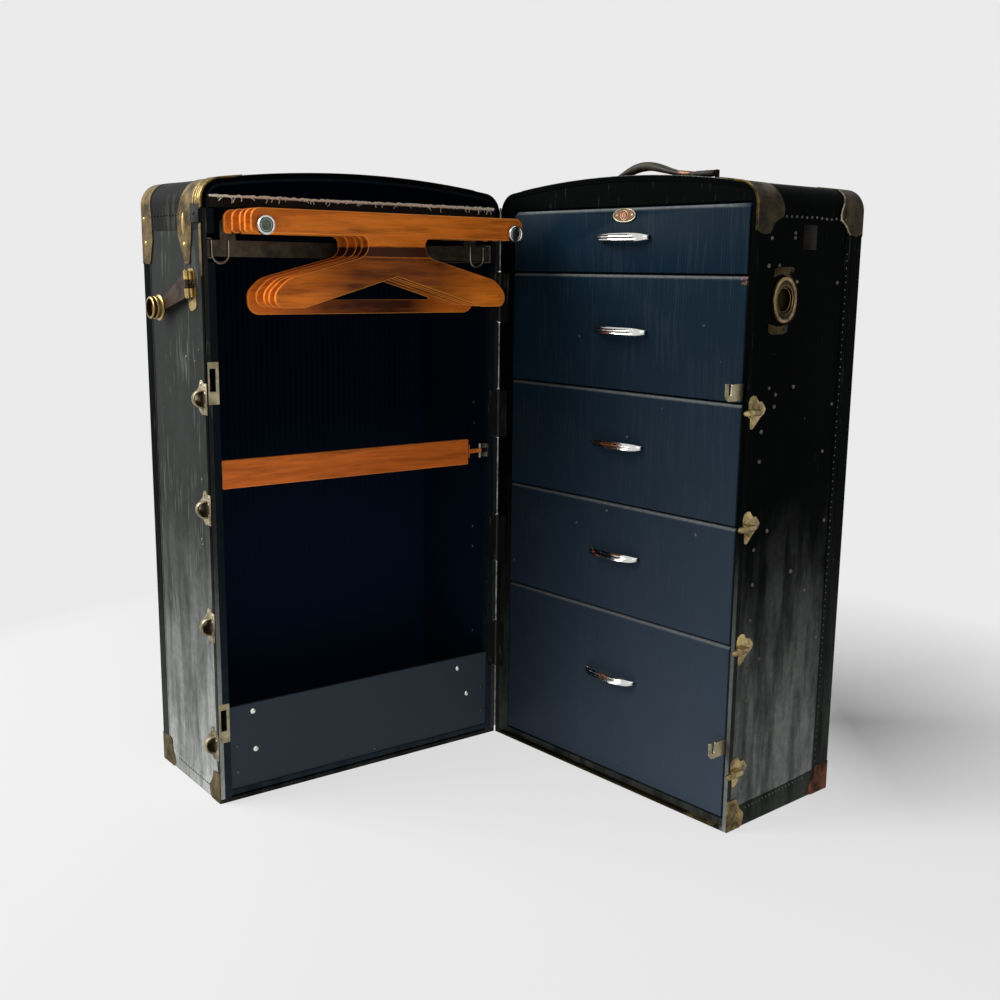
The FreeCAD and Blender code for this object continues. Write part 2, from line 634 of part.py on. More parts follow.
def drawer_lock():
    """Escutcheon on the front, barrel through it, and the lock case behind it."""
    centre = DRAWER.x(PULL_CENTRE)
    plug_hole = cylinder(KEY_PLUG_RADIUS + KEY_PLUG_PLAY, V(centre, DRAWER.y(-OUT), LOCK_Z),
                         V(centre, DRAWER.y(OUT), LOCK_Z))
    oval = Part.Ellipse(V(0, 0, 0), ESCUTCHEON_LENGTH / 2, ESCUTCHEON_HEIGHT / 2).toShape()
    escutcheon = Part.Face(Part.Wire(oval)).extrude(V(0, 0, ESCUTCHEON))
    escutcheon.rotate(V(0, 0, 0), V(1, 0, 0), 90)
    escutcheon.translate(V(centre, DRAWER.y(FRONT_INSET), LOCK_Z))
    case_low = LOCK_Z - LOCK_CASE_HEIGHT / 2
    case_high = LOCK_Z + LOCK_CASE_HEIGHT / 2
    back = FRONT_INSET + FRONT + LOCK_CASE_DEPTH
    case = DRAWER.box(PULL_CENTRE - LOCK_CASE_WIDTH / 2, PULL_CENTRE + LOCK_CASE_WIDTH / 2,
                      FRONT_INSET + FRONT, back, case_low, case_high)
    race = DRAWER.box(PULL_CENTRE - BOLT_WIDTH / 2 - BOLT_PLAY, PULL_CENTRE + BOLT_WIDTH / 2 + BOLT_PLAY,
                      BOLT_BACK - BOLT_THICKNESS - BOLT_PLAY, BOLT_BACK + BOLT_PLAY,
                      case_low - OUT, case_high + OUT)
    return escutcheon.cut(plug_hole), case.cut(race).cut(plug_hole).Solids, plug_hole, (case_low, case_high)


def drawer_lock_space():
    """The room that the lock case takes in the top drawer's box."""
    return DRAWER.box(PULL_CENTRE - LOCK_CASE_WIDTH / 2, PULL_CENTRE + LOCK_CASE_WIDTH / 2,
                      FRONT_INSET + FRONT, FRONT_INSET + FRONT + LOCK_CASE_DEPTH,
                      LOCK_Z - LOCK_CASE_HEIGHT / 2, STACK_TOP + OUT)


def drawer_key_plug():
    centre = DRAWER.x(PULL_CENTRE)
    front = DRAWER.y(FRONT_INSET - ESCUTCHEON - KEY_PLUG_PROUD)
    back = DRAWER.y(BOLT_BACK - BOLT_THICKNESS - BOLT_PLAY - 0.1)
    plug = cylinder(KEY_PLUG_RADIUS, V(centre, front, LOCK_Z), V(centre, back, LOCK_Z))
    keyway = block(centre - 0.6, centre + 0.6, front - 1, front + 4, LOCK_Z - 3, LOCK_Z + 3)
    return plug.cut(keyway)


def drawer_bolt(case_span):
    low = case_span[0] + BOLT_PLAY
    high = STACK_TOP - BOARD / 2 - BOLT_PLAY
    return DRAWER.box(PULL_CENTRE - BOLT_WIDTH / 2, PULL_CENTRE + BOLT_WIDTH / 2,
                      BOLT_BACK - BOLT_THICKNESS, BOLT_BACK, low, high)


# --- fittings on the latch side -------------------------------------------------------------------

def leaf_plate(half, height):
    """A pointed plate on the latch side, widest by the seam."""
    near = PLATE_FROM_SEAM
    far = PLATE_FROM_SEAM + PLATE_LENGTH
    waist = PLATE_HEIGHT / 2
    return half.side_plate([(near, height - waist, 2), (near + 0.35 * PLATE_LENGTH, height - 0.8 * waist, 6),
                            (far, height, 8), (near + 0.35 * PLATE_LENGTH, height + 0.8 * waist, 6),
                            (near, height + waist, 2)], 0, PLATE)


def dowel(height):
    """A plate with a round-nosed dowel that stands past the seam."""
    axis_x = HALF_WIDTH + DOWEL_AXIS_OUT
    tail = DRAWER.y(PLATE_FROM_SEAM + 13)
    tip = DRAWER.y(-DOWEL_PROJECTION + DOWEL_RADIUS)
    barrel = cylinder(DOWEL_RADIUS, V(axis_x, tip, height), V(axis_x, tail, height))
    nose = Part.makeSphere(DOWEL_RADIUS, V(axis_x, tip, height))
    saddle = block(HALF_WIDTH + PLATE, axis_x, DRAWER.y(PLATE_FROM_SEAM + 1), tail,
                   height - DOWEL_RADIUS * 0.7, height + DOWEL_RADIUS * 0.7)
    return leaf_plate(DRAWER, height).fuse(saddle).fuse(barrel).fuse(nose).removeSplitter()


def dowel_socket(height):
    """A plate with a hood that takes the dowel when the trunk is closed."""
    axis_x = HALF_WIDTH + DOWEL_AXIS_OUT
    bore_radius = DOWEL_RADIUS + DOWEL_SOCKET_PLAY
    mouth = WARDROBE.y(PLATE_FROM_SEAM)
    end = WARDROBE.y(PLATE_FROM_SEAM + SOCKET_LENGTH)
    hood = cylinder(bore_radius + SOCKET_WALL, V(axis_x, mouth, height), V(axis_x, end, height))
    hood = hood.common(block(HALF_WIDTH + PLATE, HALF_WIDTH + OUT, end - OUT, mouth + OUT,
                             height - OUT, height + OUT))
    bore = cylinder(bore_radius, V(axis_x, mouth + OUT, height), V(axis_x, end + SOCKET_WALL, height))
    bore = bore.common(block(HALF_WIDTH + PLATE, HALF_WIDTH + OUT, end - OUT, mouth + 2 * OUT,
                             height - OUT, height + OUT))
    return leaf_plate(WARDROBE, height).fuse(hood).cut(bore).removeSplitter()


def latch_hook(height):
    """A flat hook with a notch near its tip, turning on a pin inside the latch side."""
    low = height - HOOK_HEIGHT / 2
    high = height + HOOK_HEIGHT / 2
    tip = -HOOK_PROJECTION
    outline = [(HOOK_TAIL, low, 5), (HOOK_TAIL, high, 5), (tip + 14, high, 1), (tip + 13, height - 4, 2),
               (tip + 6, height - 4, 2), (tip + 5, high + 2, 1), (tip, high + 1, 1), (tip, low + 7, 3),
               (tip + 6, low, 3)]
    start = HOOK_CENTRE - HOOK / 2 - CASE_WIDTH
    plate = DRAWER.side_plate(outline, start, start + HOOK)
    hole = cylinder(HOOK_PIN_RADIUS + HOOK_PIN_PLAY,
                    DRAWER.point(HOOK_CENTRE - OUT, HOOK_PIVOT_DEPTH, height),
                    DRAWER.point(HOOK_CENTRE + OUT, HOOK_PIVOT_DEPTH, height))
    return plate.cut(hole)


def hook_pin(height):
    """Spans the gap between the carcass board and the side panel."""
    depth = HOOK_PIVOT_DEPTH
    return cylinder(HOOK_PIN_RADIUS, DRAWER.point(CARCASS_RIGHT, depth, height),
                    DRAWER.point(CASE_WIDTH - PANEL, depth, height))


def keeper_pocket(height):
    """The room in the wardrobe half's rim that a hook enters."""
    half_width = KEEPER_SLOT_WIDTH / 2
    half_height = KEEPER_SLOT_HEIGHT / 2
    return WARDROBE.box(HOOK_CENTRE - half_width, HOOK_CENTRE + half_width, -1, KEEPER_POCKET,
                        height - half_height, height + half_height)


def keeper_seat(height):
    """The shallow recess that the keeper plate lies in."""
    middle = height - KEEPER_DROP
    return WARDROBE.box(CASE_WIDTH - PANEL - RIM_WIDTH, CASE_WIDTH - KEEPER_EDGE, 0, KEEPER,
                        middle - KEEPER_HEIGHT / 2, middle + KEEPER_HEIGHT / 2)


def keeper_plate(height):
    return keeper_seat(height).cut(keeper_pocket(height))


def lock_cup():
    """An oval ring with a dish sunk into the side panel, for the boss of the hasp."""
    half_width = CUP_RING_WIDTH / 2
    half_height = CUP_RING_HEIGHT / 2
    centre = DRAWER.point(CASE_WIDTH, CUP_DEPTH_CENTRE, CUP_HEIGHT)
    dish_radius = BOSS_RADIUS + BOSS_PLAY
    corner = half_width * 0.85
    near = CUP_DEPTH_CENTRE - half_width
    far = CUP_DEPTH_CENTRE + half_width
    low = CUP_HEIGHT - half_height
    high = CUP_HEIGHT + half_height
    ring = DRAWER.side_plate([(near, low, corner), (far, low, corner),
                              (far, high, corner), (near, high, corner)], 0, CUP_RING)
    shell = cylinder(dish_radius + CUP_WALL, centre - V(CUP_RECESS, 0, 0), centre)
    hollow = cylinder(dish_radius, centre - V(CUP_RECESS - CUP_WALL, 0, 0), centre + V(OUT, 0, 0))
    return ring.fuse(shell).cut(hollow).removeSplitter()


def lock_cup_seat():
    centre = DRAWER.point(CASE_WIDTH, CUP_DEPTH_CENTRE, CUP_HEIGHT)
    return cylinder(BOSS_RADIUS + BOSS_PLAY + CUP_WALL, centre - V(CUP_RECESS, 0, 0), centre + V(OUT, 0, 0))


HASP_PIVOT = V(HALF_WIDTH + HASP_AXIS_OUT, WARDROBE.y(HASP_AXIS_DEPTH), HASP_AXIS_HEIGHT)
HASP_AXIS = V(0, -math.sin(math.radians(HASP_TILT)), math.cos(math.radians(HASP_TILT)))


def fold_back(shape):
    """Turns a piece of the hasp from closed to folded back on its own panel."""
    folded = shape.copy()
    folded.rotate(HASP_PIVOT, HASP_AXIS, 180)
    return folded


def hasp_barrel(start, end, radius):
    return cylinder(radius, HASP_PIVOT + HASP_AXIS * start, HASP_PIVOT + HASP_AXIS * end)


def hasp_hinge_plate():
    """The fixed half of the hasp's hinge: plate, two knuckles and the finger below them."""
    half_length = HASP_BARREL_LENGTH / 2
    low = HASP_AXIS_HEIGHT - half_length - 24
    high = HASP_PLATE_TOP
    centre = HASP_AXIS_DEPTH
    plate = WARDROBE.side_plate([(centre - 14, low + 8, 8), (centre + 12, low, 10),
                                 (centre + 20, low + 30, 10), (centre + 18, high, 8),
                                 (centre - 8, high, 8)], 0, PLATE)
    parts = [plate]
    inner_end = half_length / 3 + KNUCKLE_PLAY
    for start, end in ((-half_length, -inner_end), (inner_end, half_length)):
        parts.append(hasp_barrel(start, end, HASP_BARREL_RADIUS))
        foot = hasp_barrel(start, end, HASP_BARREL_RADIUS * 0.8)
        foot_low = foot.copy()
        foot_low.translate(V(-HASP_AXIS_OUT + HASP_BARREL_RADIUS, 0, 0))
        parts.append(foot_low)
    fixed = parts[0]
    for part in parts[1:]:
        fixed = fixed.fuse(part)
    fixed = fixed.cut(hasp_barrel(-OUT, OUT, HASP_PIN_RADIUS + HINGE_PIN_PLAY))
    fixed = fixed.common(block(HALF_WIDTH, HALF_WIDTH + OUT, WARDROBE.y(OUT * 2), WARDROBE.y(-OUT),
                               0, CASE_HEIGHT))
    return fixed.removeSplitter()


def hasp_pin():
    half_length = HASP_BARREL_LENGTH / 2
    shank = hasp_barrel(-half_length - PIN_HEAD, half_length + PIN_HEAD, HASP_PIN_RADIUS)
    low_head = hasp_barrel(-half_length - PIN_HEAD, -half_length, PIN_HEAD_RADIUS)
    high_head = hasp_barrel(half_length, half_length + PIN_HEAD, PIN_HEAD_RADIUS)
    return shank.fuse(low_head).fuse(high_head).removeSplitter()


BOSS_CENTRE = V(HALF_WIDTH, DRAWER.y(CUP_DEPTH_CENTRE), CUP_HEIGHT)


def hasp_arm():
    """The swinging arm, drawn closed: knuckle, neck, tapered plate and the flange at its end."""
    half_length = HASP_BARREL_LENGTH / 2
    along = (BOSS_CENTRE - HASP_PIVOT)
    along.x = 0
    reach = along.Length
    along.normalize()
    across = V(0, -along.z, along.y)

    def at(distance, offset):
        point = V(0, HASP_PIVOT.y, HASP_PIVOT.z) + along * distance + across * offset
        return V(HALF_WIDTH + HASP_AXIS_OUT - HASP_ARM / 2, point.y, point.z)

    wide = HASP_ARM_WIDTH / 2
    far = HASP_ARM_END_WIDTH / 2
    corners = [at(0, -wide), at(HASP_ARM_TAPER_START, -wide), at(reach, -far),
               at(reach, far), at(HASP_ARM_TAPER_START, wide), at(0, wide)]
    plate = Part.Face(Part.makePolygon(corners + corners[:1])).extrude(V(HASP_ARM, 0, 0))
    clear_radius = HASP_BARREL_RADIUS + HASP_KNUCKLE_SPACE
    clear_end = half_length + PIN_HEAD + HASP_KNUCKLE_SPACE
    plate = cut_all(plate, [hasp_barrel(-clear_end, -half_length / 3, clear_radius),
                            hasp_barrel(half_length / 3, clear_end, clear_radius)])
    flange = cylinder(BOSS_FLANGE_RADIUS, BOSS_CENTRE + V(HASP_AXIS_OUT - HASP_ARM / 2, 0, 0),
                      BOSS_CENTRE + V(HASP_AXIS_OUT + HASP_ARM / 2, 0, 0))
    knuckle = hasp_barrel(-half_length / 3, half_length / 3, HASP_BARREL_RADIUS)
    arm = plate.fuse(flange).fuse(knuckle)
    return arm.cut(hasp_barrel(-OUT, OUT, HASP_PIN_RADIUS + HINGE_PIN_PLAY)).removeSplitter()


def lock_drum():
    """The hollow boss that enters the cup and the lock body on the other side of the arm."""
    inner_face = HASP_AXIS_OUT - HASP_ARM / 2
    outer_face = HASP_AXIS_OUT + HASP_ARM / 2
    boss_end = inner_face - BOSS_DEPTH

    def turned(radius, start, end):
        return cylinder(radius, BOSS_CENTRE + V(start, 0, 0), BOSS_CENTRE + V(end, 0, 0))

    boss = turned(BOSS_RADIUS, boss_end, inner_face)
    hollow = turned(BOSS_RADIUS - BOSS_WALL, boss_end - 1, inner_face - 1.5)
    body = turned(LOCK_BODY_RADIUS, outer_face, outer_face + LOCK_BODY)
    plug_hole = turned(HASP_KEY_RADIUS + KEY_PLUG_PLAY, outer_face + 0.5, OUT)
    return [boss.cut(hollow), body.cut(plug_hole)]


def hasp_key_plug():
    outer_face = HASP_AXIS_OUT + HASP_ARM / 2
    start = BOSS_CENTRE + V(outer_face + 0.6, 0, 0)
    end = BOSS_CENTRE + V(outer_face + LOCK_BODY + KEY_PLUG_PROUD, 0, 0)
    plug = cylinder(HASP_KEY_RADIUS, start, end)
    keyway = block(end.x - 3, end.x + 1, end.y - 0.6, end.y + 0.6, end.z - 3, end.z + 3)
    return plug.cut(keyway)


# --- carrying handle ------------------------------------------------------------------------------

HANDLE_Y = DRAWER.y(HANDLE_DEPTH)
HANDLE_AXIS_Z = CASE_HEIGHT + HANDLE_AXIS_UP


def crown_height(x):
    return CROWN_CENTRE_Z + math.sqrt(CROWN_RADIUS ** 2 - x ** 2)


def handle_staple(side):
    """A foot plate on the crown with a wire loop that the handle's eye turns on."""
    x = side * HANDLE_SPAN / 2
    half_length = STAPLE_PLATE_LENGTH / 2
    half_width = STAPLE_PLATE_WIDTH / 2
    outer = Part.makeCylinder(CROWN_RADIUS + STAPLE_PLATE, STAPLE_PLATE_WIDTH,
                              V(0, HANDLE_Y - half_width, CROWN_CENTRE_Z), V(0, 1, 0))
    inner = Part.makeCylinder(CROWN_RADIUS, STAPLE_PLATE_WIDTH,
                              V(0, HANDLE_Y - half_width, CROWN_CENTRE_Z), V(0, 1, 0))
    over_plate = block(x - half_length, x + half_length, HANDLE_Y - half_width, HANDLE_Y + half_width,
                       CASE_HEIGHT - CROWN_RISE, CASE_HEIGHT + OUT)
    plate = over_plate.common(outer).cut(inner)
    ear_gap = HANDLE_EYE_RADIUS
    ears = []
    for end in (-1, 1):
        ear_x = x + end * (half_length - STAPLE_WIRE_RADIUS)
        ear = block(ear_x - STAPLE_WIRE_RADIUS, ear_x + STAPLE_WIRE_RADIUS,
                    HANDLE_Y - ear_gap, HANDLE_Y + ear_gap,
                    crown_height(ear_x) + STAPLE_PLATE / 2, HANDLE_AXIS_Z)
        head = cylinder(ear_gap, V(ear_x - STAPLE_WIRE_RADIUS, HANDLE_Y, HANDLE_AXIS_Z),
                        V(ear_x + STAPLE_WIRE_RADIUS, HANDLE_Y, HANDLE_AXIS_Z))
        ears.append(ear.fuse(head))
    pin = cylinder(STAPLE_WIRE_RADIUS, V(x - half_length, HANDLE_Y, HANDLE_AXIS_Z),
                   V(x + half_length, HANDLE_Y, HANDLE_AXIS_Z))
    staple = plate.fuse(ears[0]).fuse(ears[1]).fuse(pin)
    return staple.removeSplitter()


def handle_strap():
    """The arched leather strap with an eye at each end, upright on its pivot."""
    eye_half = STAPLE_PLATE_LENGTH / 2 - 2 * STAPLE_WIRE_RADIUS - HANDLE_EYE_PLAY
    half_width = HANDLE_STRAP_WIDTH / 2
    low = HANDLE_AXIS_Z + HANDLE_EYE_RADIUS - HANDLE_STRAP
    high = HANDLE_AXIS_Z + HANDLE_EYE_RADIUS
    span = HANDLE_SPAN / 2 + eye_half
    top = HANDLE_AXIS_Z + HANDLE_RISE
    under = Part.Arc(V(-span, 0, low), V(0, 0, top - HANDLE_STRAP), V(span, 0, low)).toShape()
    over = Part.Arc(V(-span, 0, high), V(0, 0, top), V(span, 0, high)).toShape()
    ends = [Part.LineSegment(V(side * span, 0, low), V(side * span, 0, high)).toShape() for side in (-1, 1)]
    profile = Part.Face(Part.Wire(Part.sortEdges([under, over] + ends)[0]))
    strap = profile.extrude(V(0, 2 * half_width, 0))
    strap.translate(V(0, HANDLE_Y - half_width, 0))
    for side in (-1, 1):
        x = side * HANDLE_SPAN / 2
        clear = [block(min(x + side * eye_half, x + side * OUT), max(x + side * eye_half, x + side * OUT),
                       HANDLE_Y - OUT, HANDLE_Y + OUT, 0, HANDLE_AXIS_Z + OUT)]
        eye = cylinder(HANDLE_EYE_RADIUS, V(x - eye_half, HANDLE_Y, HANDLE_AXIS_Z),
                       V(x + eye_half, HANDLE_Y, HANDLE_AXIS_Z))
        strap = cut_all(strap, clear).fuse(eye)
        inner_ear = side * (HANDLE_SPAN / 2 - STAPLE_PLATE_LENGTH / 2)
        ear_room = block(min(inner_ear - side * HANDLE_EYE_PLAY, x - side * eye_half),
                         max(inner_ear - side * HANDLE_EYE_PLAY, x - side * eye_half),
                         HANDLE_Y - OUT, HANDLE_Y + OUT,
                         0, HANDLE_AXIS_Z + HANDLE_EYE_RADIUS + HANDLE_EYE_PLAY)
        strap = strap.cut(ear_room)
        strap = strap.cut(cylinder(STAPLE_WIRE_RADIUS + HANDLE_EYE_PLAY, V(x - OUT, HANDLE_Y, HANDLE_AXIS_Z),
                                   V(x + OUT, HANDLE_Y, HANDLE_AXIS_Z)))
    return strap.removeSplitter()


# --- wardrobe half inside -------------------------------------------------------------------------

def trolley_notch(side_u):
    """The break in a rim strip that the trolley passes through."""
    half_height = TRACK_HEIGHT / 2 + 6
    return WARDROBE.box(side_u - OUT, side_u + OUT, -OUT, RIM_DEPTH + 1, TRACK_CENTRE_HEIGHT - half_height,
                        TRACK_CENTRE_HEIGHT + half_height)


def rim_strips(tools):
    """Timber strips round the opening: bottom, both sides and the bent one under the crown."""
    inner_latch = CASE_WIDTH - PANEL - RIM_WIDTH
    bottom = WARDROBE.box(PANEL + RIM_WIDTH, inner_latch, 0, RIM_DEPTH, PANEL, PANEL + RIM_WIDTH)
    bottom = bottom.cut(WARDROBE.box(0, CASE_WIDTH, -1, SEAM_LIP_REACH + 3, 0, PANEL + RIM_REBATE))
    above = WARDROBE.box(0, CASE_WIDTH, -OUT, OUT, TOP_JOINT_Z, CASE_HEIGHT)
    top = WARDROBE.ring(PANEL, PANEL + CROWN_STRIP_WIDTH, 0, RIM_DEPTH).common(above)
    strips = [bottom, top]
    for u0 in (PANEL, inner_latch):
        side = WARDROBE.box(u0, u0 + RIM_WIDTH, 0, RIM_DEPTH, PANEL, TOP_JOINT_Z)
        side = cut_all(side, tools + [trolley_notch(u0)])
        strips.extend(side.Solids)
    return strips


def lining():
    """The cloth-covered skin inside the wardrobe half."""
    inner = WARDROBE.depth - PANEL
    sleeve = WARDROBE.ring(PANEL, PANEL + LINING, RIM_DEPTH, inner)
    sheet = WARDROBE.slab(PANEL + LINING, inner - LINING, inner)
    return sleeve.fuse(sheet).removeSplitter()


def shoe_panel():
    return WARDROBE.box(PANEL + RIM_WIDTH, CASE_WIDTH - PANEL - RIM_WIDTH, SHOE_PANEL_INSET,
                        SHOE_PANEL_INSET + SHOE_PANEL, PANEL + RIM_WIDTH, SHOE_PANEL_TOP)


BAR_AXIS = WARDROBE.point(BAR_HINGE_U, BAR_INSET + BAR_THICKNESS / 2, BAR_CENTRE_HEIGHT)


def bar_barrel(low, high, radius):
    return cylinder(radius, BAR_AXIS + V(0, 0, low), BAR_AXIS + V(0, 0, high))


def retaining_bar():
    end = CASE_WIDTH - PANEL - RIM_WIDTH - BAR_END_PLAY
    low = BAR_CENTRE_HEIGHT - BAR_HEIGHT / 2
    high = BAR_CENTRE_HEIGHT + BAR_HEIGHT / 2
    return WARDROBE.plate([(BAR_START_U, low, 2), (end, low, 2), (end, high, 2), (BAR_START_U, high, 2)],
                          BAR_INSET, BAR_INSET + BAR_THICKNESS)


def bar_strap():
    """The metal end of the bar: a middle knuckle and a strap along the bar's back."""
    half_height = BAR_STRAP_HEIGHT / 2
    third = BAR_STRAP_HEIGHT / 6
    back = BAR_INSET + BAR_THICKNESS
    start = BAR_START_U - BAR_STRAP_OVER
    strap = WARDROBE.box(start, BAR_START_U + BAR_STRAP_REACH, back, back + BAR_STRAP,
                         BAR_CENTRE_HEIGHT - half_height, BAR_CENTRE_HEIGHT + half_height)
    tongue = WARDROBE.box(BAR_HINGE_U, start + BAR_STRAP, BAR_INSET + BAR_THICKNESS / 2 - 1,
                          BAR_INSET + BAR_THICKNESS / 2 + 1, BAR_CENTRE_HEIGHT - third + KNUCKLE_PLAY,
                          BAR_CENTRE_HEIGHT + third - KNUCKLE_PLAY)
    crank = WARDROBE.box(start, start + BAR_STRAP, BAR_INSET + BAR_THICKNESS / 2 - 1,
                         back + BAR_STRAP, BAR_CENTRE_HEIGHT - half_height, BAR_CENTRE_HEIGHT + half_height)
    knuckle = bar_barrel(-third + KNUCKLE_PLAY, third - KNUCKLE_PLAY, BAR_KNUCKLE_RADIUS)
    piece = strap.fuse(crank).fuse(tongue).fuse(knuckle)
    return piece.cut(bar_barrel(-OUT, OUT, BAR_PIN_RADIUS + HINGE_PIN_PLAY)).removeSplitter()


def bar_bracket():
    """The fixed hinge of the bar on the hinge-side rim strip."""
    half_height = BAR_STRAP_HEIGHT / 2
    third = BAR_STRAP_HEIGHT / 6
    middle = BAR_INSET + BAR_THICKNESS / 2
    wall = PANEL + RIM_WIDTH
    bracket = WARDROBE.box(wall, wall + BAR_STRAP, 0, RIM_DEPTH, BAR_CENTRE_HEIGHT - half_height,
                           BAR_CENTRE_HEIGHT + half_height)
    for low, high in ((-half_height, -third), (third, half_height)):
        arm = WARDROBE.box(wall, BAR_HINGE_U, middle - 1, middle + 1,
                           BAR_CENTRE_HEIGHT + low, BAR_CENTRE_HEIGHT + high)
        bracket = bracket.fuse(arm).fuse(bar_barrel(low, high, BAR_KNUCKLE_RADIUS))
    return bracket.cut(bar_barrel(-OUT, OUT, BAR_PIN_RADIUS + HINGE_PIN_PLAY)).removeSplitter()


def bar_pin():
    half_height = BAR_STRAP_HEIGHT / 2
    shank = bar_barrel(-half_height - 1, half_height + 1, BAR_PIN_RADIUS)
    return shank.fuse(bar_barrel(-half_height - 1, -half_height, BAR_KNUCKLE_RADIUS)).fuse(
        bar_barrel(half_height, half_height + 1, BAR_KNUCKLE_RADIUS)).removeSplitter()


def bar_rest():
    """The small angle on the latch side that the free end of the bar lies against."""
    wall = CASE_WIDTH - PANEL - RIM_WIDTH
    back = BAR_INSET + BAR_THICKNESS + RUN_PLAY
    half_height = BAR_STRAP_HEIGHT / 2
    low = BAR_CENTRE_HEIGHT - half_height
    high = BAR_CENTRE_HEIGHT + half_height
    seat = WARDROBE.box(wall - 16, wall, back, back + STAY, low, high)
    foot = WARDROBE.box(wall - STAY, wall, back, back + 12, low, high)
    return seat.fuse(foot).removeSplitter()


def curtain():
    """The band of cloth left along the top of the opening."""
    low = CURTAIN_TOP - CURTAIN_HEIGHT
    return WARDROBE.slab(PANEL + CROWN_STRIP_WIDTH, CURTAIN_INSET, CURTAIN_INSET + CURTAIN).common(
        WARDROBE.box(0, CASE_WIDTH, -OUT, OUT, low, CURTAIN_TOP))


# --- hanger trolley -------------------------------------------------------------------------------

INNER_HINGE = PANEL + LINING
INNER_LATCH = CASE_WIDTH - PANEL - LINING


def tracks():
    """Two channels on the inner side walls, open towards each other."""
    low = TRACK_CENTRE_HEIGHT - TRACK_HEIGHT / 2
    high = TRACK_CENTRE_HEIGHT + TRACK_HEIGHT / 2
    back = WARDROBE.depth - PANEL - LINING
    channels = []
    for wall, inward in ((INNER_HINGE, 1), (INNER_LATCH, -1)):
        u0, u1 = sorted((wall, wall + inward * TRACK_WIDTH))
        h0, h1 = sorted((wall + inward * TRACK_WALL, wall + inward * OUT))
        channel = WARDROBE.box(u0, u1, RIM_DEPTH, back, low, high)
        hollow = WARDROBE.box(h0, h1, RIM_DEPTH - OUT, back - TRACK_WALL,
                              low + TRACK_WALL, high - TRACK_WALL)
        channels.append(channel.cut(hollow))
    return channels


def trolley_frame():
    """Cross bar with a carriage plate at each end and two lugs that carry the rails."""
    low = TRACK_CENTRE_HEIGHT - CARRIAGE_HEIGHT / 2
    high = TRACK_CENTRE_HEIGHT + CARRIAGE_HEIGHT / 2
    side = TRACK_WALL + CARRIAGE_SIDE_PLAY
    start = INNER_HINGE + side
    end = INNER_LATCH - side
    front = CROSS_BAR_DEPTH
    frame = WARDROBE.box(start, end, front, front + CROSS_BAR, low, high)
    for u0 in (start, end - CARRIAGE):
        frame = frame.fuse(WARDROBE.box(u0, u0 + CARRIAGE, front, front + CARRIAGE_LENGTH, low, high))
    half_lug = RAIL_LUG_WIDTH / 2
    lug_low = high - 1
    lug_high = RAIL_HEIGHT + half_lug
    for u in RAIL_PLACES:
        lug = WARDROBE.plate([(u - half_lug, lug_low, 0), (u + half_lug, lug_low, 0),
                              (u + half_lug, lug_high, 9), (u - half_lug, lug_high, 9)],
                             front, front + CROSS_BAR)
        frame = frame.fuse(lug)
        frame = frame.cut(cylinder(RAIL_RADIUS, WARDROBE.point(u, -OUT, RAIL_HEIGHT),
                                   WARDROBE.point(u, 2 * OUT, RAIL_HEIGHT)))
    return frame.removeSplitter()


RAIL_PLACES = (RAIL_FROM_SIDE, CASE_WIDTH - RAIL_FROM_SIDE)


def rail(u):
    front = WARDROBE.point(u, RAIL_FRONT, RAIL_HEIGHT)
    back = WARDROBE.point(u, RAIL_BACK, RAIL_HEIGHT)
    return cylinder(RAIL_RADIUS, front, back).cut(cylinder(RAIL_RADIUS - RAIL_WALL, front, back))


def end_cap(u):
    """A dished cap on the front end of a rail."""
    cap = cylinder(END_CAP_RADIUS, WARDROBE.point(u, RAIL_FRONT - END_CAP, RAIL_HEIGHT),
                   WARDROBE.point(u, RAIL_FRONT, RAIL_HEIGHT))
    dish = cylinder(END_CAP_RADIUS - 3.5, WARDROBE.point(u, RAIL_FRONT - END_CAP - 1, RAIL_HEIGHT),
                    WARDROBE.point(u, RAIL_FRONT - END_CAP + 2, RAIL_HEIGHT))
    return cap.cut(dish)


def wire_bail(side):
    """A U of wire hanging below the cross bar, in front of it."""
    centre = HALF_WIDTH + side * (HALF_WIDTH - BAIL_FROM_SIDE)
    depth = CROSS_BAR_DEPTH - BAIL_WIRE_RADIUS
    radius = BAIL_WIDTH / 2
    top = TRACK_CENTRE_HEIGHT + CARRIAGE_HEIGHT / 2
    turn = top - BAIL_DROP
    left = WARDROBE.point(centre - radius, depth, turn)
    right = WARDROBE.point(centre + radius, depth, turn)
    lowest = WARDROBE.point(centre, depth, turn - radius)
    rise = V(0, 0, BAIL_DROP)
    path = Part.Wire([Part.LineSegment(left + rise, left).toShape(),
                      Part.Arc(left, lowest, right).toShape(),
                      Part.LineSegment(right, right + rise).toShape()])
    section = Part.Wire([Part.Circle(left + rise, V(0, 0, 1), BAIL_WIRE_RADIUS).toShape()])
    return path.makePipeShell([section], True, False)


# --- hangers --------------------------------------------------------------------------------------

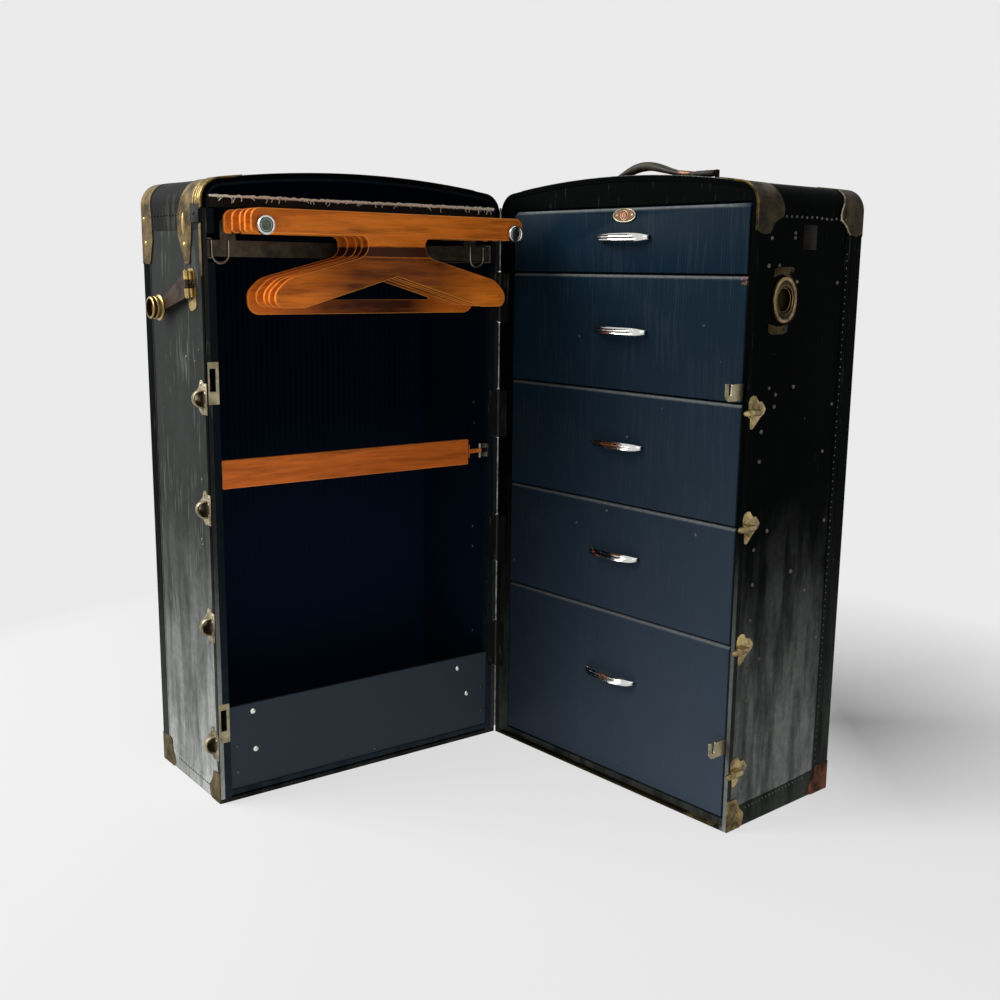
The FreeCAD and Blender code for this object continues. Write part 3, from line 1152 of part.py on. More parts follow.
def hanger(depth, has_trouser_bar):
    """A plywood hanger: a bar notched for both rails, a neck and two sloping shoulders."""
    top = RAIL_HEIGHT + HANGER_BAR_ABOVE_RAIL
    bar_low = top - HANGER_BAR_HEIGHT
    bottom = top - HANGER_DROP
    bar = HALF_WIDTH - HANGER_BAR_FROM_SIDE
    neck = HANGER_NECK_WIDTH / 2
    span = HANGER_SPAN / 2
    apex = bottom + 0.33 * HANGER_DROP
    shoulder = bottom + 0.55 * HANGER_DROP
    right = [(bar, top, 14), (bar, bar_low, 6), (neck, bar_low, 12), (neck, shoulder, 22),
             (span * 0.9, bottom + 0.3 * HANGER_DROP, HANGER_SHOULDER_RADIUS),
             (span, bottom + 0.16 * HANGER_DROP, 0.5 * HANGER_SHOULDER_RADIUS),
             (span, bottom, HANGER_TIP_RADIUS)]
    if has_trouser_bar:
        right[-1] = (span, bottom - TROUSER_BAR_DROP, 20)
        right[-2] = (span + 1, bottom + 0.16 * HANGER_DROP, 0.5 * HANGER_SHOULDER_RADIUS)
        half_outline = right
    else:
        half_outline = right + [(span * 0.77, bottom, 1.5 * HANGER_TIP_RADIUS), (0, apex, 3)]
    left = [(-x, z, radius) for x, z, radius in reversed(half_outline) if x > 0]
    outline = [(HALF_WIDTH + x, z, radius) for x, z, radius in half_outline + left]
    plate = WARDROBE.plate(outline, depth, depth + HANGER)
    if has_trouser_bar:
        sill = bottom - TROUSER_BAR_DROP + TROUSER_BAR_HEIGHT
        reach = span * 0.62
        plate = plate.cut(WARDROBE.plate([(HALF_WIDTH - reach, sill, 2), (HALF_WIDTH + reach, sill, 2),
                                          (HALF_WIDTH, apex, 3)], depth - 1, depth + HANGER + 1))
    for u in RAIL_PLACES:
        seat = RAIL_RADIUS + NOTCH_PLAY
        round_end = cylinder(seat, WARDROBE.point(u, depth - 1, RAIL_HEIGHT),
                             WARDROBE.point(u, depth + HANGER + 1, RAIL_HEIGHT))
        slot = WARDROBE.box(u - seat, u + seat, depth - 1, depth + HANGER + 1, bar_low - 1, RAIL_HEIGHT)
        plate = plate.cut(round_end.fuse(slot))
    return plate


# --- putting it together --------------------------------------------------------------------------

def export_drawer_half():
    leaf_pockets = [leaf_pocket(DRAWER, height) for height in HINGE_HEIGHTS]
    plates = corner_plates(DRAWER, DRAWER_TOP_FRONT_PLATE, DRAWER_TOP_BACK_PLATE)
    bottom, sides, top, back = case_panels(DRAWER)
    hinge_side = cut_all(sides[0], leaf_pockets)
    latch_side = sides[1].cut(lock_cup_seat())
    export("drawer_case_bottom", [bottom])
    export("drawer_case_sides", [hinge_side, latch_side])
    export("drawer_case_top", [top])
    export("drawer_case_back", [back])
    export("drawer_case_bindings", edge_bindings(DRAWER, plates, leaf_pockets))
    export("drawer_case_brasswork", plates + [seam_lip()])
    export("face_frame", face_frame())
    export("drawer_carcass", carcass_sides() + drawer_boards())
    export("hinge_leaves_and_pins", [hinge_leaf(DRAWER, height) for height in HINGE_HEIGHTS]
           + [hinge_pin(height) for height in HINGE_HEIGHTS])
    export("dowels", [dowel(height) for height in DOWEL_HEIGHTS])
    export("lock_cup", [lock_cup()])
    export("hook_pins", [hook_pin(height) for height in HOOK_HEIGHTS])
    for name, height in zip(("lower_hook", "upper_hook"), HOOK_HEIGHTS):
        export(name, [latch_hook(height)])
    export("handle_staples", [handle_staple(side) for side in (-1, 1)])
    export("handle_strap", [handle_strap()])


def export_drawers():
    """Drawer 1 is the top one, which has the lock."""
    levels = stack_levels()
    escutcheon, case_parts, plug_hole, case_span = drawer_lock()
    count = len(levels) - 1
    for index in range(count):
        number = count - index
        low, high = levels[index], levels[index + 1]
        middle = (low + high) / 2
        front = drawer_front(low, high)
        box = drawer_box(low, high)
        if number == 1:
            front = front.cut(plug_hole)
            box = box.cut(drawer_lock_space())
        export("drawer_%d_front" % number, [front])
        export("drawer_%d_box" % number, [box])
        export("drawer_%d_pull" % number, [drawer_pull(middle + PULL_ABOVE_MIDDLE[index])])
    export("drawer_lock", [escutcheon] + case_parts)
    export("drawer_key_plug", [drawer_key_plug()])
    export("drawer_lock_bolt", [drawer_bolt(case_span)])


def export_wardrobe_half():
    leaf_pockets = [leaf_pocket(WARDROBE, height) for height in HINGE_HEIGHTS]
    hook_cuts = []
    for height in HOOK_HEIGHTS:
        hook_cuts.extend([keeper_pocket(height), keeper_seat(height)])
    plates = corner_plates(WARDROBE, WARDROBE_TOP_FRONT_PLATE, WARDROBE_TOP_BACK_PLATE)
    bottom, sides, top, back = case_panels(WARDROBE)
    export_wardrobe("wardrobe_case_bottom", [bottom])
    export_wardrobe("wardrobe_case_sides", [cut_all(sides[0], leaf_pockets), cut_all(sides[1], hook_cuts)])
    export_wardrobe("wardrobe_case_top", [top])
    export_wardrobe("wardrobe_case_back", [back])
    export_wardrobe("wardrobe_case_bindings", edge_bindings(WARDROBE, plates, leaf_pockets))
    export_wardrobe("wardrobe_case_brasswork", plates)
    export_wardrobe("rim_strips", rim_strips(leaf_pockets + hook_cuts))
    export_wardrobe("wardrobe_lining", [cut_all(lining(), hook_cuts)])
    export_wardrobe("wardrobe_hinge_leaves", [hinge_leaf(WARDROBE, height) for height in HINGE_HEIGHTS])
    export_wardrobe("dowel_sockets", [dowel_socket(height) for height in DOWEL_HEIGHTS])
    export_wardrobe("hook_keepers", [keeper_plate(height) for height in HOOK_HEIGHTS])
    export_wardrobe("shoe_panel", [shoe_panel()])
    export_wardrobe("curtain_band", [curtain()])
    export_wardrobe("bar_brackets", [bar_bracket(), bar_pin(), bar_rest()])
    export_wardrobe("retaining_bar", [retaining_bar(), bar_strap()])
    export_wardrobe("trolley_tracks", tracks())
    export_wardrobe("trolley_frame", [trolley_frame()] + [wire_bail(side) for side in (-1, 1)])
    export_wardrobe("trolley_rails", [rail(u) for u in RAIL_PLACES] + [end_cap(u) for u in RAIL_PLACES])
    export_wardrobe("hasp_hinge", [hasp_hinge_plate(), hasp_pin()])
    export_wardrobe("hasp_arm", [fold_back(solid) for solid in [hasp_arm()] + lock_drum()])
    export_wardrobe("hasp_key_plug", [fold_back(hasp_key_plug())])
    last = len(HANGER_DEPTHS)
    for number, depth in enumerate(HANGER_DEPTHS, start=1):
        export_wardrobe("hanger_%d" % number, [hanger(depth, number == last)])


os.makedirs("parts", exist_ok=True)
export_drawer_half()
export_drawers()
export_wardrobe_half()
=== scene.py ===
"""The looks of a wardrobe trunk that stands open on end: finishes, lights, camera and the small fittings."""
import json
import math
import random

import bmesh
import bpy
from mathutils import Matrix, Vector


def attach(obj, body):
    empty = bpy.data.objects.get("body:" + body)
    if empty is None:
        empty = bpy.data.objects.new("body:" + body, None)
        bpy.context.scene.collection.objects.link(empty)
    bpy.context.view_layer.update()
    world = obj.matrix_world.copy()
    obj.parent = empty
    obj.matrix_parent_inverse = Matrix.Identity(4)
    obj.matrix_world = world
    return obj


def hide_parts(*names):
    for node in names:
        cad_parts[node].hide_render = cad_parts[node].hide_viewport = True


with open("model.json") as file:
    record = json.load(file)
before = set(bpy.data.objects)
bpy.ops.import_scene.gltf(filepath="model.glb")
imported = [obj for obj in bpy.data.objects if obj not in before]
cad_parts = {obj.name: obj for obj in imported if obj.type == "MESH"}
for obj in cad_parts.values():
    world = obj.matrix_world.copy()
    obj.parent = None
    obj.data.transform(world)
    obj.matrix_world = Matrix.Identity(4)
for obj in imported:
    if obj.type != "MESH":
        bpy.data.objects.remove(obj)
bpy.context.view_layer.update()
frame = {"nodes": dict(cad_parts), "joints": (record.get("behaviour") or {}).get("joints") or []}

# ---------------------------------------------------------------- sizes of the case, in mm
MM = 0.001
CASE_WIDTH = 560.0
MIDDLE = CASE_WIDTH / 2
CROWN = 1022.0
CROWN_RISE = 22.0
CROWN_RADIUS = (MIDDLE ** 2 + CROWN_RISE ** 2) / (2 * CROWN_RISE)
CROWN_CENTRE = CROWN - CROWN_RADIUS
SHOULDER = 34.0
SHOULDER_CENTRE_U = CASE_WIDTH - SHOULDER
SHOULDER_CENTRE_Z = CROWN_CENTRE + math.sqrt(
    (CROWN_RADIUS - SHOULDER) ** 2 - (SHOULDER_CENTRE_U - MIDDLE) ** 2)
SHOULDER_LEAN = math.asin((SHOULDER_CENTRE_U - MIDDLE) / (CROWN_RADIUS - SHOULDER))
SHOULDER_TURN = math.pi / 2 - SHOULDER_LEAN
PULL_LEVELS = {1: 927.5, 2: 779.0, 3: 592.75, 4: 406.75, 5: 193.0}
PULL_CENTRE = 299.5
OUT = (1, 0, 0)
FORWARD = (0, -1, 0)
BACK = (0, 1, 0)
UP = (0, 0, 1)

# ---------------------------------------------------------------- where the two halves stand
# A point of either half is (u, d, z) in mm: u across from the hinge side, d back from its open face, z up.
# The two faces are where the closed halves meet, in metres in the row frame.
hinge = next(joint for joint in frame["joints"] if joint["name"] == "trunk_hinge")
hinge_place = Vector(hinge["pos_m"])
DRAWER_FACE = -0.135
WARDROBE_FACE = -0.136
OPEN_ANGLE = math.radians(94.0)
TURNED = (Matrix.Translation(hinge_place) @ Matrix.Rotation(-OPEN_ANGLE, 4, "Z")
          @ Matrix.Translation(-hinge_place))
DRAWER = Matrix.Translation((-MIDDLE * MM, DRAWER_FACE, 0)) @ Matrix.Scale(MM, 4)
WARDROBE = (TURNED @ Matrix.Translation((-MIDDLE * MM, WARDROBE_FACE, 0))
            @ Matrix.Diagonal((MM, -MM, MM, 1)))
HALF_OF = {"drawer_half": DRAWER, "drawer_1": DRAWER, "carry_handle": DRAWER,
           "wardrobe_half": WARDROBE, "hasp": WARDROBE, "trolley": WARDROBE}
HANGER_CENTRE = (Matrix.Rotation(OPEN_ANGLE, 4, "Z") @ hinge_place - hinge_place).x


# ---------------------------------------------------------------- node trees
def cleared(owner):
    """The empty node tree of a material or a world."""
    owner.use_nodes = True
    owner.node_tree.nodes.clear()
    return owner.node_tree


class Output:
    """An output of a node. Sums with it make further nodes."""

    def __init__(self, tree, socket):
        self.tree, self.socket = tree, socket

    def __add__(self, other):
        return sums("ADD", self, other)

    def __sub__(self, other):
        return sums("SUBTRACT", self, other)

    def __rsub__(self, other):
        return out_of(self.tree, "ShaderNodeMath", {0: other, 1: self}, operation="SUBTRACT")

    def __mul__(self, other):
        return sums("MULTIPLY", self, other)

    def __truediv__(self, other):
        return sums("DIVIDE", self, other)

    def __pow__(self, other):
        return sums("POWER", self, other)

    def spread(self, low, high, to_low=0.0, to_high=1.0):
        """The value from low to high, spread to to_low to to_high and held at the ends."""
        return out_of(self.tree, "ShaderNodeMapRange", {0: self, 1: low, 2: high, 3: to_low, 4: to_high})

    def vector(self, way, by):
        """A place multiplied by a vector, or moved by one."""
        return out_of(self.tree, "ShaderNodeVectorMath", {0: self, 1: by}, operation=way)

    def parts(self):
        """The x, y and z of a place."""
        return outputs(self.tree, "ShaderNodeSeparateXYZ", {0: self})


def node(tree, kind, sockets=None, **settings):
    """A new node with its settings, and its sockets set or linked. A colour may leave its alpha out."""
    made = tree.nodes.new(kind)
    for name, value in settings.items():
        setattr(made, name, value)
    for key, value in (sockets or {}).items():
        socket = made.inputs[key]
        if isinstance(value, Output):
            tree.links.new(value.socket, socket)
        elif socket.type == "RGBA":
            socket.default_value = (*value, 1.0)
        else:
            socket.default_value = value
    return made


def outputs(tree, kind, sockets=None, **settings):
    return [Output(tree, socket) for socket in node(tree, kind, sockets, **settings).outputs]


def out_of(tree, kind, sockets=None, which=0, **settings):
    return Output(tree, node(tree, kind, sockets, **settings).outputs[which])


def sums(way, first, second=0.0):
    return out_of(first.tree, "ShaderNodeMath", {0: first, 1: second}, operation=way)


def mixed(mask, first, second):
    """The first colour where the mask is 0, the second where it is 1."""
    return out_of(mask.tree, "ShaderNodeMix", {0: mask, 6: first, 7: second}, 2, data_type="RGBA")


def shade(colour, by, lift=0.0, top=1.0):
    """A colour made darker or lighter."""
    return tuple(min(top, by * part + lift) for part in colour)


def noise(place, scale=1.0, detail=2.0, which=0, **more):
    """Noise at a place: output 0 is its value, output 1 its colour."""
    sockets = {"Vector": place, "Scale": scale, "Detail": detail, **more}
    return out_of(place.tree, "ShaderNodeTexNoise", sockets, which)


def effect(name, given, gives):
    """A shader node group: its tree, its inputs by name, and a call that links a value to an output."""
    tree = bpy.data.node_groups.new(name, "ShaderNodeTree")
    tree.interface.new_socket(name="Vector", in_out="INPUT", socket_type="NodeSocketVector")
    for label, value in given.items():
        made = tree.interface.new_socket(name=label, in_out="INPUT", socket_type="NodeSocketFloat")
        made.default_value = value
    for label in gives:
        tree.interface.new_socket(name=label, in_out="OUTPUT", socket_type="NodeSocketFloat")
    inputs = {socket.name: Output(tree, socket) for socket in tree.nodes.new("NodeGroupInput").outputs}
    result = tree.nodes.new("NodeGroupOutput")
    return tree, inputs, lambda label, value: tree.links.new(value.socket, result.inputs[label])


def grouped(group, place, **sockets):
    """The outputs of a node group at a place."""
    return outputs(place.tree, "ShaderNodeGroup", {"Vector": place, **sockets}, node_tree=group)


def mottle_effect():
    """Cloudy patches."""
    tree, given, give = effect("mottle", {"Scale": 10.0, "Detail": 5.0, "Low": 0.4, "High": 0.6}, ["Mask"])
    cloud = noise(given["Vector"], given["Scale"], given["Detail"], Roughness=0.62)
    give("Mask", cloud.spread(given["Low"], given["High"]))
    return tree


def scratch_effect():
    """Fine scuffs and scratches that run mostly up and down."""
    tree, given, give = effect("scratches", {"Scale": 60.0, "Stretch": 12.0, "Share": 0.3}, ["Mask"])
    place, across = given["Vector"], given["Scale"]
    scale = out_of(tree, "ShaderNodeCombineXYZ", {0: across, 1: across, 2: across / given["Stretch"]})
    bend = noise(place, 7.0, which=1).vector("MULTIPLY", (0.02, 0.02, 0.02))
    fine = noise(place.vector("ADD", bend).vector("MULTIPLY", scale), detail=4.0, Roughness=0.7)
    level = 0.78 - given["Share"] * noise(place, 9.0, 3.0)
    give("Mask", fine.spread(level, level + 0.09))
    return tree


def speck_effect():
    """Small scattered marks, each about half a cell across."""
    tree, given, give = effect("specks", {"Scale": 40.0, "Size": 0.16, "Share": 0.2}, ["Mask"])
    nudge = noise(given["Vector"], 90.0, which=1).vector("MULTIPLY", (0.008, 0.008, 0.008))
    place = given["Vector"].vector("ADD", nudge)
    distance, cell = outputs(tree, "ShaderNodeTexVoronoi", {"Vector": place, "Scale": given["Scale"]})[:2]
    chosen = sums("LESS_THAN", out_of(tree, "ShaderNodeSeparateColor", {0: cell}), given["Share"])
    give("Mask", chosen * (1.0 - distance.spread(given["Size"] * 0.6, given["Size"])))
    return tree


def grain_effect():
    """Wood grain along X: broad rings for the figure and fine pores."""
    tree, given, give = effect("wood grain", {}, ["Figure", "Pores"])
    broad = given["Vector"].vector("MULTIPLY", (2.2, 26.0, 26.0))
    narrow = given["Vector"].vector("MULTIPLY", (22.0, 420.0, 420.0))
    give("Figure", noise(broad, detail=5.0, Distortion=1.4, Roughness=0.6).spread(0.32, 0.68))
    give("Pores", noise(narrow, detail=3.0).spread(0.52, 0.72))
    return tree


def thread_effect():
    """Threads of a plain cloth, as a height."""
    tree, given, give = effect("threads", {"Scale": 1500.0}, ["Height"])
    x, y, z = given["Vector"].parts()
    give("Height", sums("SINE", (x + y) * given["Scale"]) * sums("SINE", z * given["Scale"]))
    return tree


def stripe_effect():
    """Upright stripes, broad ones with thin ones between."""
    tree, given, give = effect("stripes", {"Broad": 560.0, "Thin": 1680.0}, ["Mask"])
    x, y, _ = given["Vector"].parts()
    broad = sums("SINE", (x + y) * given["Broad"])
    thin = sums("SINE", (x + y) * given["Thin"])
    give("Mask", (broad + thin * 0.5).spread(-0.4, 1.3))
    return tree


def floor_sheen_and_scuff_effect():
    """Painted reflection of the pale floor, with some rubbing, that grows towards the floor, with an upper
    edge made ragged by clouds and upright runs.
    """
    given_values = {"Clouds": 0.0, "Runs": 0.0, "High": 0.64, "Low": 0.06}
    tree, given, give = effect("painted floor sheen and scuffing", given_values, ["Mask"])
    ragged = given["Vector"].parts()[2] + (given["Clouds"] * 0.16 + given["Runs"] * 0.1)
    give("Mask", ragged.spread(given["High"], given["Low"]))
    return tree


def hide_effect():
    """The fine cells of a hide, as a height."""
    tree, given, give = effect("hide grain", {"Scale": 520.0}, ["Height"])
    sockets = {"Vector": given["Vector"], "Scale": given["Scale"]}
    give("Height", out_of(tree, "ShaderNodeTexVoronoi", sockets, feature="DISTANCE_TO_EDGE"))
    return tree


MOTTLE = mottle_effect()
SCRATCHES = scratch_effect()
SPECKS = speck_effect()
GRAIN = grain_effect()
THREADS = thread_effect()
STRIPES = stripe_effect()
FLOOR_SHEEN_AND_SCUFFS = floor_sheen_and_scuff_effect()
HIDE = hide_effect()


def mottle(place, scale, low, high, detail=5.0):
    return grouped(MOTTLE, place, Scale=scale, Detail=detail, Low=low, High=high)[0]


def scratches(place, scale, stretch, share):
    return grouped(SCRATCHES, place, Scale=scale, Stretch=stretch, Share=share)[0]


def specks(place, scale, size, share):
    return grouped(SPECKS, place, Scale=scale, Size=size, Share=share)[0]


# ---------------------------------------------------------------- finishes
def socket_name(key):
    """specular_ior_level gives Specular IOR Level."""
    return key.replace("_", " ").title().replace("Ior", "IOR")


class Finish:
    """A material being mixed on its shader, in the object's own coordinates."""

    def __init__(self, name, colour, **shader):
        self.material = bpy.data.materials.new(name)
        self.tree = cleared(self.material)
        constants = {socket_name(key): value for key, value in shader.items()}
        self.surface = node(self.tree, "ShaderNodeBsdfPrincipled", constants)
        node(self.tree, "ShaderNodeOutputMaterial", {0: Output(self.tree, self.surface.outputs[0])})
        self.place = out_of(self.tree, "ShaderNodeTexCoord", which="Object")
        self.colour = colour

    def turned(self, angle):
        """The place, turned so that X runs along a wall."""
        return out_of(self.tree, "ShaderNodeMapping", {"Vector": self.place, "Rotation": (0.0, 0.0, angle)})

    def wear_and_highlight(self):
        """The mesh's mark for worn edges that also carry a painted highlight."""
        return out_of(self.tree, "ShaderNodeAttribute", which="Fac", attribute_name="wear_and_highlight")

    def lay(self, mask, colour):
        """Covers the colour so far with another where the mask is 1."""
        self.colour = mixed(mask, self.colour, colour)

    def done(self, height, strength, deep, **sockets):
        """Wires the colour, a bump that is deep metres at most and the rest to the shader."""
        bump = out_of(self.tree, "ShaderNodeBump", {"Height": height, "Strength": strength, "Distance": deep})
        for key, value in dict(base_color=self.colour, normal=bump, **sockets).items():
            self.tree.links.new(value.socket, self.surface.inputs[socket_name(key)])
        return self.material


def fibre_finish(name, dark, low_sheen, scuffed, share, rough, gloss, sheen_and_scuff_side=None):
    """Dyed fibre sheet: near black above and paler low down, where a reflection of the floor is painted in
    with some rubbing, with upright scuffs and pale specks.

    sheen_and_scuff_side is (axis, low, high): the painted floor reflection and the scratches are full past
    high on that axis and slight before low.
    """
    look = Finish(name, dark, specular_ior_level=gloss)
    place = look.place
    clouds = mottle(place, scale=4.5, low=0.36, high=0.72)
    fine = mottle(place, scale=85.0, low=0.35, high=0.75)
    lines = scratches(place, scale=150.0, stretch=14.0, share=share)
    dots = specks(place, scale=42.0, size=0.1, share=0.14)
    runs = mottle(place.vector("MULTIPLY", (24.0, 24.0, 3.5)), scale=1.0, low=0.46, high=0.66)
    # The mask for the painted floor reflection, with some rubbing, growing towards the floor.
    near_floor = grouped(FLOOR_SHEEN_AND_SCUFFS, place, Clouds=clouds, Runs=runs, High=0.64, Low=0.06)[0]
    if sheen_and_scuff_side:
        axis, low, high = sheen_and_scuff_side
        # Only that side keeps the painted floor reflection and the scratches in full.
        worn = place.parts()[axis].spread(low, high, 0.3, 1.0)
        near_floor, lines = near_floor * worn, lines * worn
    # Paler low down: painted reflection of the floor.
    look.lay(near_floor ** 2.0, low_sheen)
    look.lay(runs * 0.5, shade(dark, 1.5))
    look.lay(fine * 0.35, shade(dark, 0.5))
    look.lay(lines * near_floor.spread(0.0, 1.0, 0.35, 0.8), scuffed)
    look.lay(dots * 0.5, (0.12, 0.115, 0.1))
    return look.done(fine - lines * 0.7, strength=0.22, deep=0.0006,
                     roughness=(clouds + lines).spread(0.0, 1.6, rough, rough + 0.2))


def brass_finish(name, bright, dull, share, rough=0.3, foot=None):
    """Old brass: worn bright on raised spots, brown where it has tarnished.

    foot is the colour of the front plate at the foot of the latch side; the back one is rusty.
    """
    look = Finish(name, dull)
    place = look.place
    stains = mottle(place, scale=38.0, low=share - 0.16, high=share + 0.14, detail=6.0)
    pits = specks(place, scale=260.0, size=0.3, share=0.3)
    lines = scratches(place, scale=420.0, stretch=8.0, share=0.36)
    look.lay(stains, bright)
    look.lay(pits * 0.6, (0.035, 0.024, 0.014))
    look.lay(lines * 0.3, shade(bright, 1.5))
    if foot:
        across, back, up = place.parts()
        low = up.spread(0.085, 0.07) * across.spread(0.2, 0.21)
        foot_plates = mixed(back.spread(0.02, 0.05), foot, (0.2, 0.05, 0.022))
        look.lay(low * stains.spread(0.0, 1.0, 0.12, 1.0), foot_plates)
    return look.done(stains - (pits + lines), strength=0.25, deep=0.0004,
                     roughness=stains.spread(0.0, 1.0, rough + 0.3, rough),
                     metallic=stains.spread(0.0, 1.0, 0.85, 1.0))


def metal_finish(name, bright, dull, rough, spots=0.5, metallic=1.0):
    """Bare or plated metal with a little staining and fine scratches."""
    look = Finish(name, bright, metallic=metallic)
    stains = mottle(look.place, scale=55.0, low=spots - 0.12, high=spots + 0.2)
    lines = scratches(look.place, scale=500.0, stretch=5.0, share=0.3)
    look.lay(stains, dull)
    return look.done(lines, strength=0.08, deep=0.0002,
                     roughness=(stains + lines).spread(0.0, 1.8, rough, rough + 0.25))


def navy_finish():
    """Navy leatherette with fine upright ribs, paler low down and towards the latch side as painted light
    from the floor, with a pale band on the rolled top edges, worn covering and a painted highlight line, and
    one torn spot.
    """
    look = Finish("navy drawer covering", (0.0013, 0.0102, 0.0205), specular_ior_level=0.03)
    place = look.place
    across, _, up = place.parts()
    ribs = sums("SINE", across * 1250.0 + noise(place, 5.0) * 9.0)
    streaks = scratches(place, scale=190.0, stretch=40.0, share=0.5)
    clouds = mottle(place, scale=3.2, low=0.3, high=0.75)
    ragged = mottle(place, scale=160.0, low=0.2, high=0.62)
    # Painted light from the floor: paler low down and towards the latch side.
    painted_floor_light = across.spread(-0.25, 0.27, 0.38, 1.0) * up.spread(0.95, 0.05, 0.04, 1.0) ** 1.6
    torn = across.spread(0.256, 0.262) * up.spread(0.856, 0.863) * sums("LESS_THAN", up, 0.8702)
    look.lay(painted_floor_light, (0.06, 0.08, 0.111))
    look.lay(clouds * 0.2, (0.005, 0.013, 0.019))
    look.lay(ribs.spread(-0.2, 1.0) * 0.14, (0.018, 0.034, 0.05))
    look.lay(streaks * 0.12, (0.05, 0.06, 0.075))
    look.lay(specks(place, scale=26.0, size=0.07, share=0.2) * 0.5, (0.2, 0.19, 0.2))
    # Pale band on the rolled top edge: worn covering and a painted highlight line.
    look.lay(look.wear_and_highlight() * ragged.spread(0.0, 1.0, 0.4, 0.95), (0.2, 0.215, 0.21))
    look.lay(torn * mottle(place, scale=150.0, low=0.46, high=0.54), (0.42, 0.15, 0.075))
    return look.done(ribs * 0.5 + streaks, strength=0.14, deep=0.0004,
                     roughness=clouds.spread(0.0, 1.0, 0.45, 0.58))


def lining_finish(name, angle, dark, light):
    """Lining paper with fine upright stripes, turned to line up with the walls, and paler low down as painted
    light towards the floor.
    """
    look = Finish(name, dark, specular_ior_level=0.03)
    lined = look.turned(angle)
    clouds = mottle(look.place, scale=6.0, low=0.3, high=0.8)
    look.lay(grouped(STRIPES, lined, Broad=560.0, Thin=1680.0)[0], light)
    look.lay(clouds * 0.4, shade(light, 1.3, top=1.3))
    # Painted light: paler towards the floor.
    look.lay(lined.parts()[2].spread(0.62, 0.2, 0.0, 0.75), shade(light, 3.2))
    return look.done(grouped(THREADS, lined, Scale=3600.0)[0], strength=0.1, deep=0.0003,
                     roughness=clouds.spread(0.0, 1.0, 0.75, 0.9))


def fork_shadow(lined, streaks):
    """Smoke along the hangers' shoulder line and inside their fork."""
    along, _, up = lined.parts()
    aside = sums("ABSOLUTE", along - HANGER_CENTRE)
    level = up + mottle(streaks, scale=0.6, low=0.2, high=0.8) * 0.01
    band = level.spread(0.9135, 0.9115) * level.spread(0.896, 0.8985)
    broad = mottle(streaks, scale=0.7, low=0.3, high=0.62).spread(0.0, 1.0, 0.45, 1.0)
    inner = aside.spread(0.17, 0.08) * level.spread(0.899, 0.894)
    return sums("MAXIMUM", band, inner * broad)


def wood_finish(name, angle, pale, rich, dark, gloss, forked=False):
    """Varnished hardwood with its grain along the piece, dark smoky streaks and old knocks."""
    look = Finish(name, pale, specular_ior_level=0.07, coat_weight=gloss, coat_roughness=0.2)
    lined = look.turned(angle)
    figure, pores = grouped(GRAIN, lined)
    streaks = lined.vector("MULTIPLY", (7.0, 40.0, 60.0))
    smoke = mottle(streaks, scale=1.0, low=0.5, high=0.74) * 0.6
    if forked:
        smoke = sums("MAXIMUM", smoke, fork_shadow(lined, streaks))
    look.lay(figure, rich)
    look.lay(smoke, dark)
    look.lay(pores * 0.3, shade(dark, 0.45))
    look.lay(specks(look.place, scale=34.0, size=0.1, share=0.18) * 0.4, shade(dark, 0.4))
    # Paler on the marked rounded edges: worn varnish and a painted edge highlight.
    look.lay(look.wear_and_highlight() * 0.7, shade(pale, 1.5, 0.04))
    return look.done(figure + pores, strength=0.06, deep=0.0004,
                     roughness=figure.spread(0.0, 1.0, 0.34, 0.46))


def leather_finish(name, dark, rubbed):
    """Old leather, rubbed pale in patches, with a fine hide grain."""
    look = Finish(name, dark, specular_ior_level=0.2)
    hide = grouped(HIDE, look.place, Scale=520.0)[0]
    patches = mottle(look.place, scale=45.0, low=0.38, high=0.68)
    look.lay(patches, rubbed)
    look.lay(hide.spread(0.0, 0.12, 0.5, 0.0), (0.006, 0.005, 0.004))
    return look.done(hide, strength=0.3, deep=0.0005, roughness=patches.spread(0.0, 1.0, 0.42, 0.6))


def frayed_finish():
    """Dark band cloth whose frayed upper edge is bare and pale."""
    look = Finish("frayed band cloth", (0.005, 0.004, 0.0035), specular_ior_level=0.1)
    patches = mottle(look.place, scale=26.0, low=0.3, high=0.7)
    look.lay(patches, (0.022, 0.017, 0.012))
    look.lay(look.place.parts()[2].spread(0.9765, 0.979), (1.0, 0.93, 0.76))
    return look.done(grouped(THREADS, look.place, Scale=2600.0)[0], strength=0.4, deep=0.0005,
                     roughness=patches.spread(0.0, 1.0, 0.85, 0.95))


LATCH_SIDE_OF_DRAWERS = (0, 0.265, 0.275)
LATCH_SIDE_OF_WARDROBE = (1, -0.64, -0.66)
shell = fibre_finish("black fibre shell", (0.0008, 0.0012, 0.0011), (0.3, 0.32, 0.305),
                     (0.05, 0.054, 0.047), share=0.2, rough=0.42, gloss=0.006,
                     sheen_and_scuff_side=LATCH_SIDE_OF_DRAWERS)
# A lighter copy of the black shell for the wardrobe's sides: more scuffs, and painted light where the key
# light falls on them.
shell_scuffed_and_lit = fibre_finish("scuffed and lit fibre shell", (0.016, 0.018, 0.0165), (0.5, 0.52, 0.49),
                             (0.17, 0.178, 0.16), share=0.4, rough=0.42, gloss=0.05,
                             sheen_and_scuff_side=LATCH_SIDE_OF_WARDROBE)
back_fibre = fibre_finish("back panel fibre", (0.0035, 0.004, 0.0037), (0.035, 0.038, 0.035),
                          (0.035, 0.037, 0.033), share=0.12, rough=0.45, gloss=0.02)
cap_fibre = fibre_finish("grey cap fibre", (0.0052, 0.006, 0.0052), (0.09, 0.09, 0.08), (0.08, 0.08, 0.07),
                         share=0.4, rough=0.42, gloss=0.03)
edge_fibre = fibre_finish("edge binding fibre", (0.001, 0.0015, 0.0015), (0.06, 0.066, 0.06),
                          (0.07, 0.07, 0.063), share=0.3, rough=0.42, gloss=0.008)
